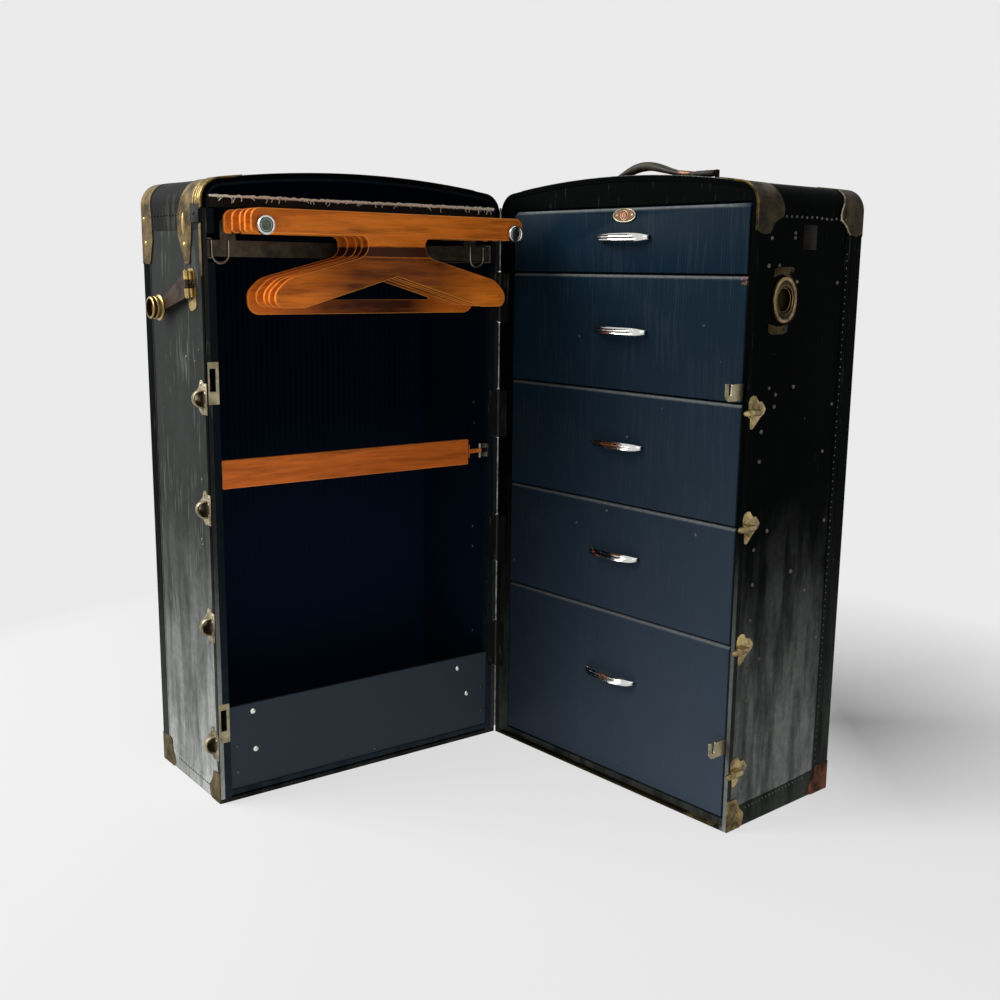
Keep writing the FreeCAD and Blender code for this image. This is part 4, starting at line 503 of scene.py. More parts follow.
rim_paint = fibre_finish("navy rim paint", (0.0055, 0.0095, 0.0135), (0.022, 0.034, 0.046),
                         (0.05, 0.055, 0.06), share=0.3, rough=0.5, gloss=0.02)
black_metal = fibre_finish("worn black japan", (0.004, 0.0045, 0.004), (0.012, 0.013, 0.011),
                           (0.16, 0.15, 0.12), share=0.4, rough=0.35, gloss=0.25)
brass = brass_finish("aged brass", (0.17, 0.11, 0.032), (0.026, 0.018, 0.006), share=0.53, rough=0.36)
brass_dark = brass_finish("dark brass", (0.044, 0.029, 0.006), (0.0065, 0.0045, 0.001), share=0.54,
                          rough=0.4, foot=(0.36, 0.26, 0.11))
brass_bright = brass_finish("rubbed brass", (0.5, 0.36, 0.14), (0.14, 0.09, 0.03), share=0.46, rough=0.24)
brass_pale = brass_finish("worn pale brass", (0.46, 0.4, 0.27), (0.07, 0.052, 0.03), share=0.5, rough=0.36)
brass_rusty = brass_finish("rusty brass", (0.19, 0.062, 0.022), (0.03, 0.012, 0.006), share=0.5, rough=0.5)
catch_brass = brass_finish("catch brass", (0.47, 0.36, 0.165), (0.05, 0.034, 0.013), share=0.49, rough=0.24)
rib_brass = brass_finish("corner rib brass", (0.36, 0.26, 0.1), (0.09, 0.06, 0.02), share=0.5, rough=0.28)
cup_brass = brass_finish("bronzed cup brass", (0.32, 0.21, 0.1), (0.04, 0.025, 0.011), share=0.5,
                         rough=0.16)
copper = brass_finish("copper brass", (0.42, 0.17, 0.08), (0.13, 0.05, 0.025), share=0.46, rough=0.3)
hook_metal = metal_finish("dull gilt hooks", (0.38, 0.33, 0.21), (0.15, 0.125, 0.07), rough=0.34)
arm_dark = metal_finish("dark strap metal", (0.055, 0.032, 0.02), (0.018, 0.011, 0.008), rough=0.45)
stud_metal = metal_finish("bright studs", (0.8, 0.8, 0.76), (0.5, 0.5, 0.46), rough=0.3, spots=0.6)
nail_metal = metal_finish("nail heads", (0.1, 0.1, 0.09), (0.04, 0.038, 0.032), rough=0.42)
nail_dark = metal_finish("dark nail heads", (0.012, 0.012, 0.01), (0.006, 0.006, 0.005), rough=0.5)
rivet_metal = metal_finish("rivet heads", (0.1, 0.095, 0.075), (0.035, 0.03, 0.022), rough=0.4)
steel = metal_finish("dull steel", (0.3, 0.28, 0.24), (0.12, 0.1, 0.08), rough=0.34)
chrome = metal_finish("chrome plate", (0.74, 0.74, 0.72), (0.46, 0.45, 0.42), rough=0.12, spots=0.62)
bronze = metal_finish("brown bronze", (0.16, 0.09, 0.055), (0.075, 0.04, 0.024), rough=0.3)
browned = metal_finish("browned metal", (0.01, 0.007, 0.006), (0.004, 0.0033, 0.003), rough=0.6)
olive = metal_finish("olive paint", (0.19, 0.155, 0.1), (0.09, 0.073, 0.046), rough=0.5, metallic=0.15)
frame_olive = metal_finish("dark olive paint", (0.11, 0.095, 0.066), (0.055, 0.047, 0.034), rough=0.5)
wire_metal = metal_finish("olive plated wire", (0.3, 0.28, 0.22), (0.16, 0.145, 0.11), rough=0.3)
seam_metal = metal_finish("worn seam metal", (0.42, 0.42, 0.39), (0.05, 0.048, 0.042), rough=0.42,
                          spots=0.48)
# A pale metal for the painted highlight lines along the crowns.
edge_highlight = metal_finish("painted edge highlight", (0.075, 0.078, 0.07), (0.016, 0.018, 0.017), rough=0.42)
dish_dark = metal_finish("dark rail dish", (0.1, 0.12, 0.1), (0.04, 0.05, 0.04), rough=0.3)
navy = navy_finish()
navy_plain = lining_finish("navy inner paint", angle=0.0, dark=(0.003, 0.006, 0.011),
                           light=(0.006, 0.01, 0.018))
lining = lining_finish("striped navy lining", angle=OPEN_ANGLE, dark=(0.0006, 0.0026, 0.0074),
                       light=(0.0017, 0.0056, 0.0135))
shoe_covering = lining_finish("navy shoe panel covering", angle=OPEN_ANGLE, dark=(0.0105, 0.0145, 0.0195),
                              light=(0.016, 0.021, 0.0265))
thread_pale = lining_finish("pale threads", angle=0.0, dark=(0.9, 0.82, 0.66), light=(1.0, 0.95, 0.8))
bar_wood = wood_finish("orange varnished wood", angle=OPEN_ANGLE, pale=(0.84, 0.203, 0.03),
                       rich=(0.56, 0.118, 0.014), dark=(0.2, 0.04, 0.006), gloss=0.03)
hanger_wood = wood_finish("smoky varnished wood", angle=OPEN_ANGLE, pale=(0.88, 0.235, 0.022),
                          rich=(0.58, 0.132, 0.015), dark=(0.052, 0.013, 0.0045), gloss=0.03, forked=True)
drawer_wood = wood_finish("bare drawer wood", angle=0.0, pale=(0.36, 0.25, 0.14), rich=(0.28, 0.18, 0.095),
                          dark=(0.17, 0.1, 0.05), gloss=0.0)
leather = leather_finish("worn handle leather", (0.01, 0.009, 0.005), (0.05, 0.04, 0.02))
leather_dark = leather_finish("dark handle leather", (0.006, 0.006, 0.006), (0.026, 0.024, 0.02))
frayed = frayed_finish()

NUMBERS = range(1, len(PULL_LEVELS) + 1)
WEARERS = (
    (shell, "drawer_case_bottom drawer_case_top drawer_case_sides wardrobe_case_bottom wardrobe_case_top"),
    (shell_scuffed_and_lit, "wardrobe_case_sides"),
    (back_fibre, "drawer_case_back wardrobe_case_back"),
    (edge_fibre, "drawer_case_bindings wardrobe_case_bindings face_frame"),
    (rim_paint, "rim_strips"),
    (black_metal, "hinge_leaves_and_pins wardrobe_hinge_leaves"),
    (brass, "wardrobe_case_brasswork dowels"),
    (brass_dark, "drawer_case_brasswork lock_cup handle_staples"),
    (brass_bright, "hasp_hinge"),
    (brass_pale, "dowel_sockets"),
    (copper, "drawer_key_plug hasp_key_plug"),
    (bronze, "drawer_lock"),
    (hook_metal, "lower_hook upper_hook hook_keepers"),
    (arm_dark, "hasp_arm"),
    (steel, "hook_pins drawer_lock_bolt bar_brackets"),
    (olive, "trolley_tracks"),
    (frame_olive, "trolley_frame"),
    (chrome, "trolley_rails " + " ".join("drawer_%d_pull" % number for number in NUMBERS)),
    (navy_plain, "drawer_carcass"),
    (lining, "wardrobe_lining"),
    (shoe_covering, "shoe_panel"),
    (frayed, "curtain_band"),
    (bar_wood, "retaining_bar"),
    (leather, "handle_strap"),
    (navy, " ".join("drawer_%d_front" % number for number in NUMBERS)),
    (drawer_wood, " ".join("drawer_%d_box" % number for number in NUMBERS)),
    (hanger_wood, " ".join("hanger_%d" % number for number in NUMBERS)),
)
for finish, names in WEARERS:
    for name in names.split():
        part = frame["nodes"][name]
        if not part.material_slots:
            part.data.materials.append(finish)
        for place in part.material_slots:
            place.material = finish


# ---------------------------------------------------------------- making pieces
def add_object(name, data):
    made = bpy.data.objects.new(name, data)
    bpy.context.scene.collection.objects.link(made)
    return made


def mesh_object(name, bm, finish):
    mesh = bpy.data.meshes.new(name)
    bm.to_mesh(mesh)
    bm.free()
    mesh.materials.append(finish)
    return add_object(name, mesh)


def settle(name, bm, body, finish, stands_for=(), angle=35.0):
    """The finished mesh as an object at the origin, riding on its body."""
    made = mesh_object(name, bm, finish)
    made.data.shade_smooth()
    made.data.set_sharp_from_angle(angle=math.radians(angle))
    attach(made, body)
    if stands_for:
        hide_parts(*stands_for)
    return made


def put(bm, half):
    """The mesh, drawn in mm in a half's own (u, d, z), to its place."""
    bm.transform(half)
    if half.determinant() < 0:
        bmesh.ops.reverse_faces(bm, faces=bm.faces[:])


def make_piece(name, body, slot_name, finish, draw, *sizes, stands_for=(), angle=35.0):
    """A piece that draw fills in, in mm in its half's frame, with its faces turned outward."""
    bm = bmesh.new()
    draw(bm, *sizes)
    bmesh.ops.recalc_face_normals(bm, faces=bm.faces[:])
    put(bm, HALF_OF[body])
    return settle(name, bm, body, finish, stands_for, angle)


def thicken(sheet, thickness):
    """Gives a sheet its thickness, half on each side."""
    wall = sheet.modifiers.new("thickness", "SOLIDIFY")
    wall.thickness = thickness
    wall.offset = 0.0


def piece(body, slot_name, finish, stands_for=()):
    """Stands above a drawing function: makes the piece that it draws, under the function's own name."""
    return lambda draw: make_piece(draw.__name__, body, slot_name, finish, draw, stands_for=stands_for)


def half_box(node_name, half):
    """A node's lowest and highest (u, d, z) in its half's frame."""
    points = [half.inverted() @ v.co for v in frame["nodes"][node_name].data.vertices]
    return [Vector([pick(part) for part in zip(*points)]) for pick in (min, max)]


def copy_of(node_name):
    """A CAD node's mesh, merged, as a bmesh in the row frame."""
    bm = bmesh.new()
    bm.from_mesh(frame["nodes"][node_name].data)
    bmesh.ops.remove_doubles(bm, verts=bm.verts[:], dist=NEAR)
    bmesh.ops.dissolve_limit(bm, angle_limit=math.radians(0.5), verts=bm.verts[:], edges=bm.edges[:])
    return bm


def edges_of(verts):
    """The edges at the verts, each once and in the same order in each run."""
    return list(dict.fromkeys(edge for vert in verts for edge in vert.link_edges))


def verts_in(geometry):
    return [part for part in geometry if isinstance(part, bmesh.types.BMVert)]


def edges_in(geometry):
    return [part for part in geometry if isinstance(part, bmesh.types.BMEdge)]


def round_off(bm, edges, offset, segments=2):
    return bmesh.ops.bevel(bm, geom=edges, offset=offset, segments=segments, profile=0.5, affect="EDGES",
                           material=-1)


def sharp_edges(bm, over):
    """The edges sharper than over degrees."""
    return [e for e in bm.edges if len(e.link_faces) == 2 and e.calc_face_angle(0) > math.radians(over)]


def facing(out):
    return Vector(UP).rotation_difference(Vector(out)).to_matrix().to_4x4()


def add_box(bm, u0, u1, d0, d1, z0, z1, rounding):
    """A block with its edges rounded."""
    middle = Matrix.Translation(((u0 + u1) / 2, (d0 + d1) / 2, (z0 + z1) / 2))
    size = Matrix.Diagonal((u1 - u0, d1 - d0, z1 - z0, 1))
    round_off(bm, edges_of(bmesh.ops.create_cube(bm, size=1.0, matrix=middle @ size)["verts"]), rounding)


def add_dome(bm, centre, out, radius, height, around=8):
    """A nail or rivet head: a low dome whose flat side is at the centre, facing along out."""
    matrix = Matrix.Translation(centre) @ facing(out) @ Matrix.Diagonal((radius, radius, height, 1))
    verts = bmesh.ops.create_uvsphere(bm, u_segments=around, v_segments=6, radius=1.0, matrix=matrix)["verts"]
    geometry = verts + edges_of(verts) + list(dict.fromkeys(f for v in verts for f in v.link_faces))
    inward = (matrix.to_3x3() @ Vector((0, 0, -1))).normalized()
    below = Vector(centre) + inward * 0.25 * height
    cut = bmesh.ops.bisect_plane(bm, geom=geometry, plane_co=below, plane_no=inward, clear_outer=True)
    bmesh.ops.holes_fill(bm, edges=edges_in(cut["geom_cut"]), sides=0)


def add_heads(bm, places, lift, radius, height, around=8):
    """Heads at (d, z) places, lift mm off the latch side panel."""
    for d, z in places:
        add_dome(bm, (CASE_WIDTH + lift, d, z), OUT, radius, height, around)


def add_disc(bm, centre, out, radius, height, rounding):
    """A flat round piece standing off a surface by its height."""
    middle = Vector(centre) + Vector(out).normalized() * height / 2
    made = bmesh.ops.create_cone(bm, cap_ends=True, segments=28, radius1=radius, radius2=radius, depth=height,
                                 matrix=Matrix.Translation(middle) @ facing(out))
    round_off(bm, [e for e in edges_of(made["verts"]) if e.calc_face_angle(0) > 1.0], rounding)


def add_tube(bm, path, bar, out=OUT, around=8, closed=False, flat=1.0):
    """A bar bent along a path of points. flat squashes it in the out direction."""
    points = [Vector(point) for point in path]
    loops = []
    for index, point in enumerate(points):
        ahead = points[(index + 1) % len(points)] if closed or index + 1 < len(points) else point
        behind = points[index - 1] if closed or index else point
        along = (ahead - behind).normalized()
        across = along.cross(Vector(out)).normalized()
        turn = Matrix((across, across.cross(along) * -1, along)).transposed().to_4x4()
        place = Matrix.Translation(point) @ turn @ Matrix.Diagonal((1, flat, 1, 1))
        made = bmesh.ops.create_circle(bm, segments=around, radius=bar, matrix=place)["verts"]
        loops.append((made, edges_of(made)))
    following = loops[1:] + (loops[:1] if closed else [])
    for (_, first), (_, second) in zip(loops, following):
        bmesh.ops.bridge_loops(bm, edges=first + second)
    if not closed:
        for made, _ in (loops[0], loops[-1]):
            bmesh.ops.contextual_create(bm, geom=made)


def add_ring(bm, centre, half_width, half_height, bar, steps=36, face=False, around=8, flat=1.0):
    """An oval ring on the latch side, or with face on an open face, where its width runs across."""
    path = []
    for step in range(steps):
        angle = 2 * math.pi * step / steps
        across, up = half_width * math.cos(angle), half_height * math.sin(angle)
        path.append(Vector(centre) + Vector((across, 0, up) if face else (0, across, up)))
    add_tube(bm, path, bar, BACK if face else OUT, around, True, flat)


def add_bar(bm, count, around, shape):
    """A closed bar through count loops. shape(loop, x, y) is where a point of the loop's unit circle goes."""
    previous = None
    for loop in range(count):
        made = bmesh.ops.create_circle(bm, segments=around, radius=1.0)["verts"]
        for vert in made:
            vert.co = shape(loop, vert.co.x, vert.co.y)
        edges = edges_of(made)
        if previous:
            bmesh.ops.bridge_loops(bm, edges=previous + edges)
        previous = edges
        if loop in (0, count - 1):
            bmesh.ops.contextual_create(bm, geom=made)


def add_line(bm, points, closed=False):
    """A line of edges through points: (its verts, its edges)."""
    verts = [bm.verts.new(point) for point in points]
    return verts, [bm.edges.new(pair) for pair in zip(verts, verts[1:] + (verts[:1] if closed else []))]


def add_turned(bm, points, centre, axis, steps, closed=False):
    """A form turned about an axis from the points of its profile."""
    verts, edges = add_line(bm, points, closed)
    bmesh.ops.spin(bm, geom=verts + edges, cent=centre, axis=axis, angle=2 * math.pi, steps=steps,
                   use_merge=True)


def add_plate(bm, outline, thickness, rounding):
    """A flat plate on the latch side, cut to an outline of (d, z) points."""
    verts = [bm.verts.new((CASE_WIDTH, d, z)) for d, z in outline]
    face = bmesh.ops.contextual_create(bm, geom=verts)["faces"][0]
    top = verts_in(bmesh.ops.extrude_face_region(bm, geom=[face])["geom"])
    bmesh.ops.translate(bm, verts=top, vec=(thickness, 0, 0))
    round_off(bm, [e for e in edges_of(top) if all(v in top for v in e.verts)], rounding)


def add_lump(bm, centre, sizes):
    """A smooth raised pad."""
    bmesh.ops.create_uvsphere(bm, u_segments=16, v_segments=10, radius=1.0,
                              matrix=Matrix.Translation(centre) @ Matrix.Diagonal((*sizes, 1)))


def mirror_sides(bm):
    """The same again on the hinge side."""
    twin = bmesh.ops.duplicate(bm, geom=bm.verts[:] + bm.edges[:] + bm.faces[:])["geom"]
    bmesh.ops.transform(bm, matrix=Matrix.Translation((CASE_WIDTH, 0, 0)) @ Matrix.Diagonal((-1, 1, 1, 1)),
                        verts=verts_in(twin))


# ---------------------------------------------------------------- drawer fronts and pulls
ROLL = 0.007
NEAR = 0.00001
PULL_FEET_BACK = -134.0
PULL_FOOT = 4.0


def drawer_front(number):
    """A covered drawer front with a rolled top edge, marked with a pale band: worn covering and a painted
    highlight line.
    """
    name = "drawer_%d_front" % number
    bm = copy_of(name)
    top = max(v.co.z for v in bm.verts)
    face = min(v.co.y for v in bm.verts)
    wear_and_highlight = bm.verts.layers.float.new("wear_and_highlight")
    at_top_of_face = [v for v in bm.verts if v.co.z > top - NEAR and v.co.y < face + NEAR]
    round_off(bm, [e for e in bm.edges if all(v in at_top_of_face for v in e.verts)], ROLL, 6)
    # The band about a third of the way down the roll: worn covering and the painted highlight line.
    for vert in bm.verts:
        drop, back = top - vert.co.z, vert.co.y - face
        if drop < 0.95 * ROLL and back < 0.95 * ROLL:
            vert[wear_and_highlight] = max(0.0, 1.0 - abs(drop - 0.32 * ROLL) / (0.45 * ROLL))
    round_off(bm, sharp_edges(bm, 50.0), 0.0012)
    settle("%s_covered" % name, bm, "drawer_%d" % number, navy, [name])


def drawer_pull(number):
    """An arched pull with three ribs along its face, on two feet."""
    centre, level = PULL_CENTRE - MIDDLE, PULL_LEVELS[number]
    half, reach, loops = 56.0, 17.8, 21

    def shape(loop, up, forward):
        share = -1.0 + 2.0 * loop / (loops - 1)
        lean = abs(share)
        out = 2.5 + reach * max(0.0, 1.0 - lean ** 2.4) ** 0.6
        tall = 6.6 * (1.0 - 0.45 * lean ** 6)
        groove = 0.5 - 0.5 * math.cos(3 * math.pi * up)
        swell = 3.4 * (1.0 - 0.55 * groove * (1.0 - lean ** 4)) if forward > 0 else 1.4
        return Vector((centre + share * half, PULL_FEET_BACK - out - forward * swell, level + tall * up))

    bm = bmesh.new()
    add_bar(bm, loops, 36, shape)
    for foot in (centre - half + PULL_FOOT, centre + half - PULL_FOOT):
        add_box(bm, foot - PULL_FOOT, foot + PULL_FOOT, PULL_FEET_BACK - 5.0, PULL_FEET_BACK,
                level - 3.6, level + 3.6, 1.0)
    bmesh.ops.recalc_face_normals(bm, faces=bm.faces[:])
    bm.transform(Matrix.Scale(MM, 4))
    name = "drawer_%d_pull" % number
    settle("%s_ribbed" % name, bm, "drawer_%d" % number, chrome, [name], 40)


for number in NUMBERS:
    drawer_front(number)
    drawer_pull(number)


# ---------------------------------------------------------------- hangers and the bar
def softened(name, finish, radius):
    """A wooden node with its edges rounded, and the middle of the rounding marked paler: worn varnish and a
    painted edge highlight.
    """
    bm = copy_of(name)
    wear_and_highlight = bm.verts.layers.float.new("wear_and_highlight")
    made = round_off(bm, sharp_edges(bm, 40.0), radius)
    rounded = set(made["faces"])
    for vert in made["verts"]:
        if all(face in rounded for face in vert.link_faces):
            vert[wear_and_highlight] = 1.0
    settle("%s_varnished" % name, bm, name, finish, [name])


for number in NUMBERS:
    softened("hanger_%d" % number, hanger_wood, 0.0012)
softened("retaining_bar", bar_wood, 0.0014)


# ---------------------------------------------------------------- nails, bands and caps of the two cases
# Depths and levels on the side panels: seam is the front edge of the nailing band, back the front edge of
# the back plates and cap_low the foot of the shoulder cap. The top edge of the band round the foot rises
# from foot_front to foot_back.
BAND_FRONT = 8.0
BAND_FOOT = 1.5
CAP_ON_CROWN = 60.0
FIRST_NAIL = 58.0
NAIL_PITCH = 11.0
NAIL_COUNT = 78
FIRST_CAP_NAIL = 71.0
CAP_NAIL_PITCH = 12.8
FOOT_NAIL_COUNT = 18
CORNER_PLATE = 42.0
CASES = {
    "drawer": dict(seam=229.0, nails=235.0, cap_low=953.0, cap_nails=957.5, back=246.0,
                   foot_front=37.0, foot_back=45.0, finishes=(nail_metal, edge_fibre, shell)),
    "wardrobe": dict(seam=213.0, nails=220.0, cap_low=929.0, cap_nails=952.0, back=216.0,
                     foot_front=27.0, foot_back=30.0, finishes=(nail_dark, shell_scuffed_and_lit, cap_fibre)),
}


def case_nails(bm, case):
    """Nails up the back edge of the side panel and along the foot of the cap."""
    for step in range(NAIL_COUNT):
        d = case["nails"] + random.uniform(-0.8, 0.8)
        z = FIRST_NAIL + NAIL_PITCH * step + random.uniform(-1, 1)
        add_heads(bm, [(d, z)], 0.0, random.uniform(1.9, 2.5), 1.1)
    d = FIRST_CAP_NAIL
    while d < case["back"] - 12:
        add_heads(bm, [(d, case["cap_nails"] + random.uniform(-0.8, 0.8))], 0.8, 2.4, 1.8)
        d += CAP_NAIL_PITCH
    mirror_sides(bm)


def foot_nails(bm, case):
    """Small nails along the band round the foot, between its two corner plates."""
    for step in range(FOOT_NAIL_COUNT):
        share = (step + 0.5) / FOOT_NAIL_COUNT
        z = case["foot_front"] - 7.0 + (case["foot_back"] - case["foot_front"]) * share
        add_heads(bm, [(CORNER_PLATE + (case["back"] - 2 * CORNER_PLATE) * share, z)], 1.0, 1.9, 1.2)
    mirror_sides(bm)


def side_bands(bm, case):
    """The nailing band along the back edge and the band round the foot."""
    seam, back, cap_low = case["seam"], case["back"], case["cap_low"]
    front_low, back_low = case["foot_front"], case["foot_back"]
    end = back + 0.5
    add_plate(bm, [(seam, front_low), (end, back_low), (end, cap_low), (seam, cap_low)], 0.8, 0.3)
    add_plate(bm, [(BAND_FRONT, BAND_FOOT), (back, BAND_FOOT), (back, back_low),
                   (0.4 * BAND_FRONT + 0.6 * back, front_low + 3.0), (BAND_FRONT, front_low)], 1.0, 0.4)
    mirror_sides(bm)


def shoulder_caps(bm, case):
    """Fibre sheet that wraps the shoulder, from the side panel to a short way along the crown."""
    low = case["cap_low"]
    edge = bm.edges.new([bm.verts.new((CASE_WIDTH, d, low)) for d in (BAND_FRONT + 0.5, case["back"])])
    made = bmesh.ops.extrude_edge_only(bm, edges=[edge])["geom"]
    top = verts_in(made)
    bmesh.ops.translate(bm, verts=top, vec=(0, 0, SHOULDER_CENTRE_Z - low))
    last = [e for e in edges_in(made) if all(v in top for v in e.verts)]
    spun = bmesh.ops.spin(bm, geom=top + last, cent=(SHOULDER_CENTRE_U, 0, SHOULDER_CENTRE_Z), axis=FORWARD,
                          angle=SHOULDER_TURN, steps=9)["geom_last"]
    bmesh.ops.spin(bm, geom=spun, cent=(MIDDLE, 0, CROWN_CENTRE), axis=FORWARD,
                   angle=CAP_ON_CROWN / CROWN_RADIUS, steps=3)
    bmesh.ops.remove_doubles(bm, verts=bm.verts[:], dist=0.001)
    if sum(face.normal.x * (face.calc_center_median().x - MIDDLE) for face in bm.faces) < 0:
        bmesh.ops.reverse_faces(bm, faces=bm.faces[:])
    bmesh.ops.solidify(bm, geom=bm.faces[:], thickness=-1.0)
    mirror_sides(bm)


random.seed(11)
for label, case in CASES.items():
    nail_finish, band_finish, cap_finish = case["finishes"]
    body = label + "_half"
    make_piece(label + "_case_nails", body, "aged_brass", nail_finish, case_nails, case)
    make_piece(label + "_foot_nails", body, "aged_brass", nail_metal, foot_nails, case)
    make_piece(label + "_side_bands", body, "edge_fibre", band_finish, side_bands, case)
    make_piece(label + "_shoulder_caps", body, "edge_fibre", cap_finish, shoulder_caps, case)

DRAWER_RIVETS = ((36, 885), (61.5, 886), (107.5, 862), (213, 861), (52, 704), (69, 693), (67, 675),
                 (113, 703), (219, 670), (38, 638.5), (37, 593), (201, 595), (66, 482), (35, 456),
                 (36, 400.5), (35, 343), (134, 407), (174, 369), (218, 480), (215, 282), (63, 275),
                 (34, 267), (35, 212), (183, 144.5), (103.5, 147), (41.5, 142), (60, 132), (35, 66),
                 (40, 925), (97, 934), (97, 927))
WARDROBE_RIVETS = ((80, 731), (28, 745), (45, 726), (34, 539), (90.5, 439), (42, 440), (39, 432))


def side_rivets(bm, places, radius, height):
    for place in places:
        add_heads(bm, [place], 0.0, radius * random.uniform(0.8, 1.1), height, 12)


make_piece("drawer_side_rivets", "drawer_half", "aged_brass", rivet_metal, side_rivets,
           DRAWER_RIVETS, 3.4, 1.8)
make_piece("wardrobe_side_rivets", "wardrobe_half", "aged_brass", nail_metal, side_rivets,
           WARDROBE_RIVETS, 2.8, 1.2)


@piece("drawer_half", "black_metal", browned)
def drawer_side_patch(bm):
    """The thin fixing plate left on the drawer half's side."""
    add_plate(bm, [(117, 910), (151, 910), (151, 947), (117, 947)], 0.6, 0.3)


# ---------------------------------------------------------------- corner fittings
def on_crown(lean, lift):
    """The u and z of a point of the crown that far off it, at an angle from its middle."""
    radius = CROWN_RADIUS + lift
    return MIDDLE + radius * math.sin(lean), CROWN_CENTRE + radius * math.cos(lean)


def corner_beads(bm, depths, low, inner, bar, lift):
    """Rods up the latch side panel, round the shoulder and inner mm along the crown."""
    for d in depths:
        path = [(CASE_WIDTH + lift, d, low), (CASE_WIDTH + lift, d, SHOULDER_CENTRE_Z)]
        for step in range(1, 9):
            angle = SHOULDER_TURN * step / 8
            path.append((SHOULDER_CENTRE_U + (SHOULDER + lift) * math.cos(angle), d,
                         SHOULDER_CENTRE_Z + (SHOULDER + lift) * math.sin(angle)))
        for step in range(1, 4):
            u, z = on_crown(SHOULDER_LEAN - inner / CROWN_RADIUS * step / 3, lift)
            path.append((u, d, z))
        add_tube(bm, path, bar, BACK)


make_piece("wardrobe_corner_ribs", "wardrobe_half", "aged_brass", rib_brass, corner_beads,
           (3.0, 9.5, 17.0, 26.0), 966.0, 40.0, 1.2, 2.0)
make_piece("drawer_corner_edge", "drawer_half", "aged_brass", brass, corner_beads,
           (2.0,), 940.0, 46.0, 1.5, 1.8)


@piece("drawer_half", "aged_brass", brass_pale)
def drawer_back_plate_edge(bm):
    """The bright rolled edge of the back corner plate, which follows the shoulder where it is higher."""
    outside = SHOULDER + 2.1
    edge = ((230.5, 1003.5), (229.5, 999), (227, 992), (219, 981), (212.5, 972), (210.5, 964), (211.5, 957),
            (220, 952), (226.5, 947), (232, 939.5), (238, 935))
    path = []
    for d, z in edge:
        rise = max(0.0, z - SHOULDER_CENTRE_Z)
        path.append((SHOULDER_CENTRE_U + math.sqrt(outside ** 2 - rise ** 2), d, z))
    add_tube(bm, path, 1.5, flat=0.8)


@piece("wardrobe_half", "aged_brass", brass_bright)
def wardrobe_corner_pads(bm):
    add_lump(bm, (CASE_WIDTH + 2.0, 66.0, 938.0), (3.2, 5.2, 17.0))
    add_heads(bm, [(63.7, 906.0)], 1.8, 4.4, 3.0, 14)
    add_heads(bm, [(228, 949), (224, 910)], 1.8, 4.0, 2.8, 14)


@piece("wardrobe_half", "aged_brass", brass)
def wardrobe_edge_strip(bm):
    add_plate(bm, [(3, 858), (11, 862), (12, 936), (3, 938)], 1.6, 0.5)


@piece("wardrobe_half", "black_metal", nail_dark)
def wardrobe_edge_box(bm):
    add_box(bm, CASE_WIDTH - 0.5, CASE_WIDTH + 3.0, 7.0, 39.0, 939.0, 968.0, 0.8)
    add_heads(bm, [(25.0, 953.0)], 3.0, 3.2, 1.6, 12)


# ---------------------------------------------------------------- alignment pegs and their sockets
PEG_LEVELS = (99.0, 301.0, 494.0, 670.0)
PEG_AXIS = CASE_WIDTH + 8.5
PEG_PLATE = ((3, 14), (6, 22), (13, 25), (20, 24), (24, 19), (28, 15), (35, 15), (40, 10), (45, 3),
             (41, -4), (34, -8), (28, -13), (22, -19), (16, -25), (11, -26), (8, -21), (8, -9), (3, -7))
PEG_PROFILE = ((0.0, 24.0), (3.8, 23.4), (5.0, 21.0), (5.0, 2.0), (6.3, 0.5), (6.4, -1.5), (5.2, -3.0),
               (5.0, -9.5), (3.9, -12.8), (2.0, -14.7), (0.0, -15.0))
SOCKET_PLATE = ((15, 25), (19, 29), (25, 29), (29, 24), (31, 18), (38, 13), (45, 6), (47, 0), (44, -8),
                (37, -14), (30, -20), (24, -25), (18, -26), (15, -22))
ARCH_STEPS = 12
HOOD_ARCHES = ((16.0, 13.5, 16.0), (20.0, 13.5, 16.4), (27.0, 13.0, 15.0), (34.0, 11.0, 11.0),
               (40.0, 8.0, 6.5), (44.5, 4.5, 2.6))


@piece("drawer_half", "aged_brass", catch_brass, ["dowels"])
def scalloped_pegs(bm):
    """Scalloped plates, each with a peg that stands past the seam in a flared collar."""
    for level in PEG_LEVELS:
        add_plate(bm, [(d, level + z) for d, z in PEG_PLATE], 1.5, 0.5)
        add_heads(bm, [(13.5, level + 19.5), (37, level + 5), (14, level - 19)], 1.5, 2.6, 1.2, 10)
        profile = [(PEG_AXIS + radius, d, level) for radius, d in PEG_PROFILE]
        add_turned(bm, profile, (PEG_AXIS, 0, level), BACK, 20)
        add_box(bm, CASE_WIDTH + 0.5, CASE_WIDTH + 6.0, 4.0, 24.0, level - 4.2, level + 4.2, 1.2)
    bmesh.ops.remove_doubles(bm, verts=bm.verts[:], dist=0.01)


def arch(level, d, wide, high):
    """Points over an arch on the latch side panel."""
    turns = [math.pi * step / ARCH_STEPS for step in range(ARCH_STEPS + 1)]
    return [(CASE_WIDTH + 0.6 + high * math.sin(turn) ** 0.8, d, level + wide * math.cos(turn))
            for turn in turns]


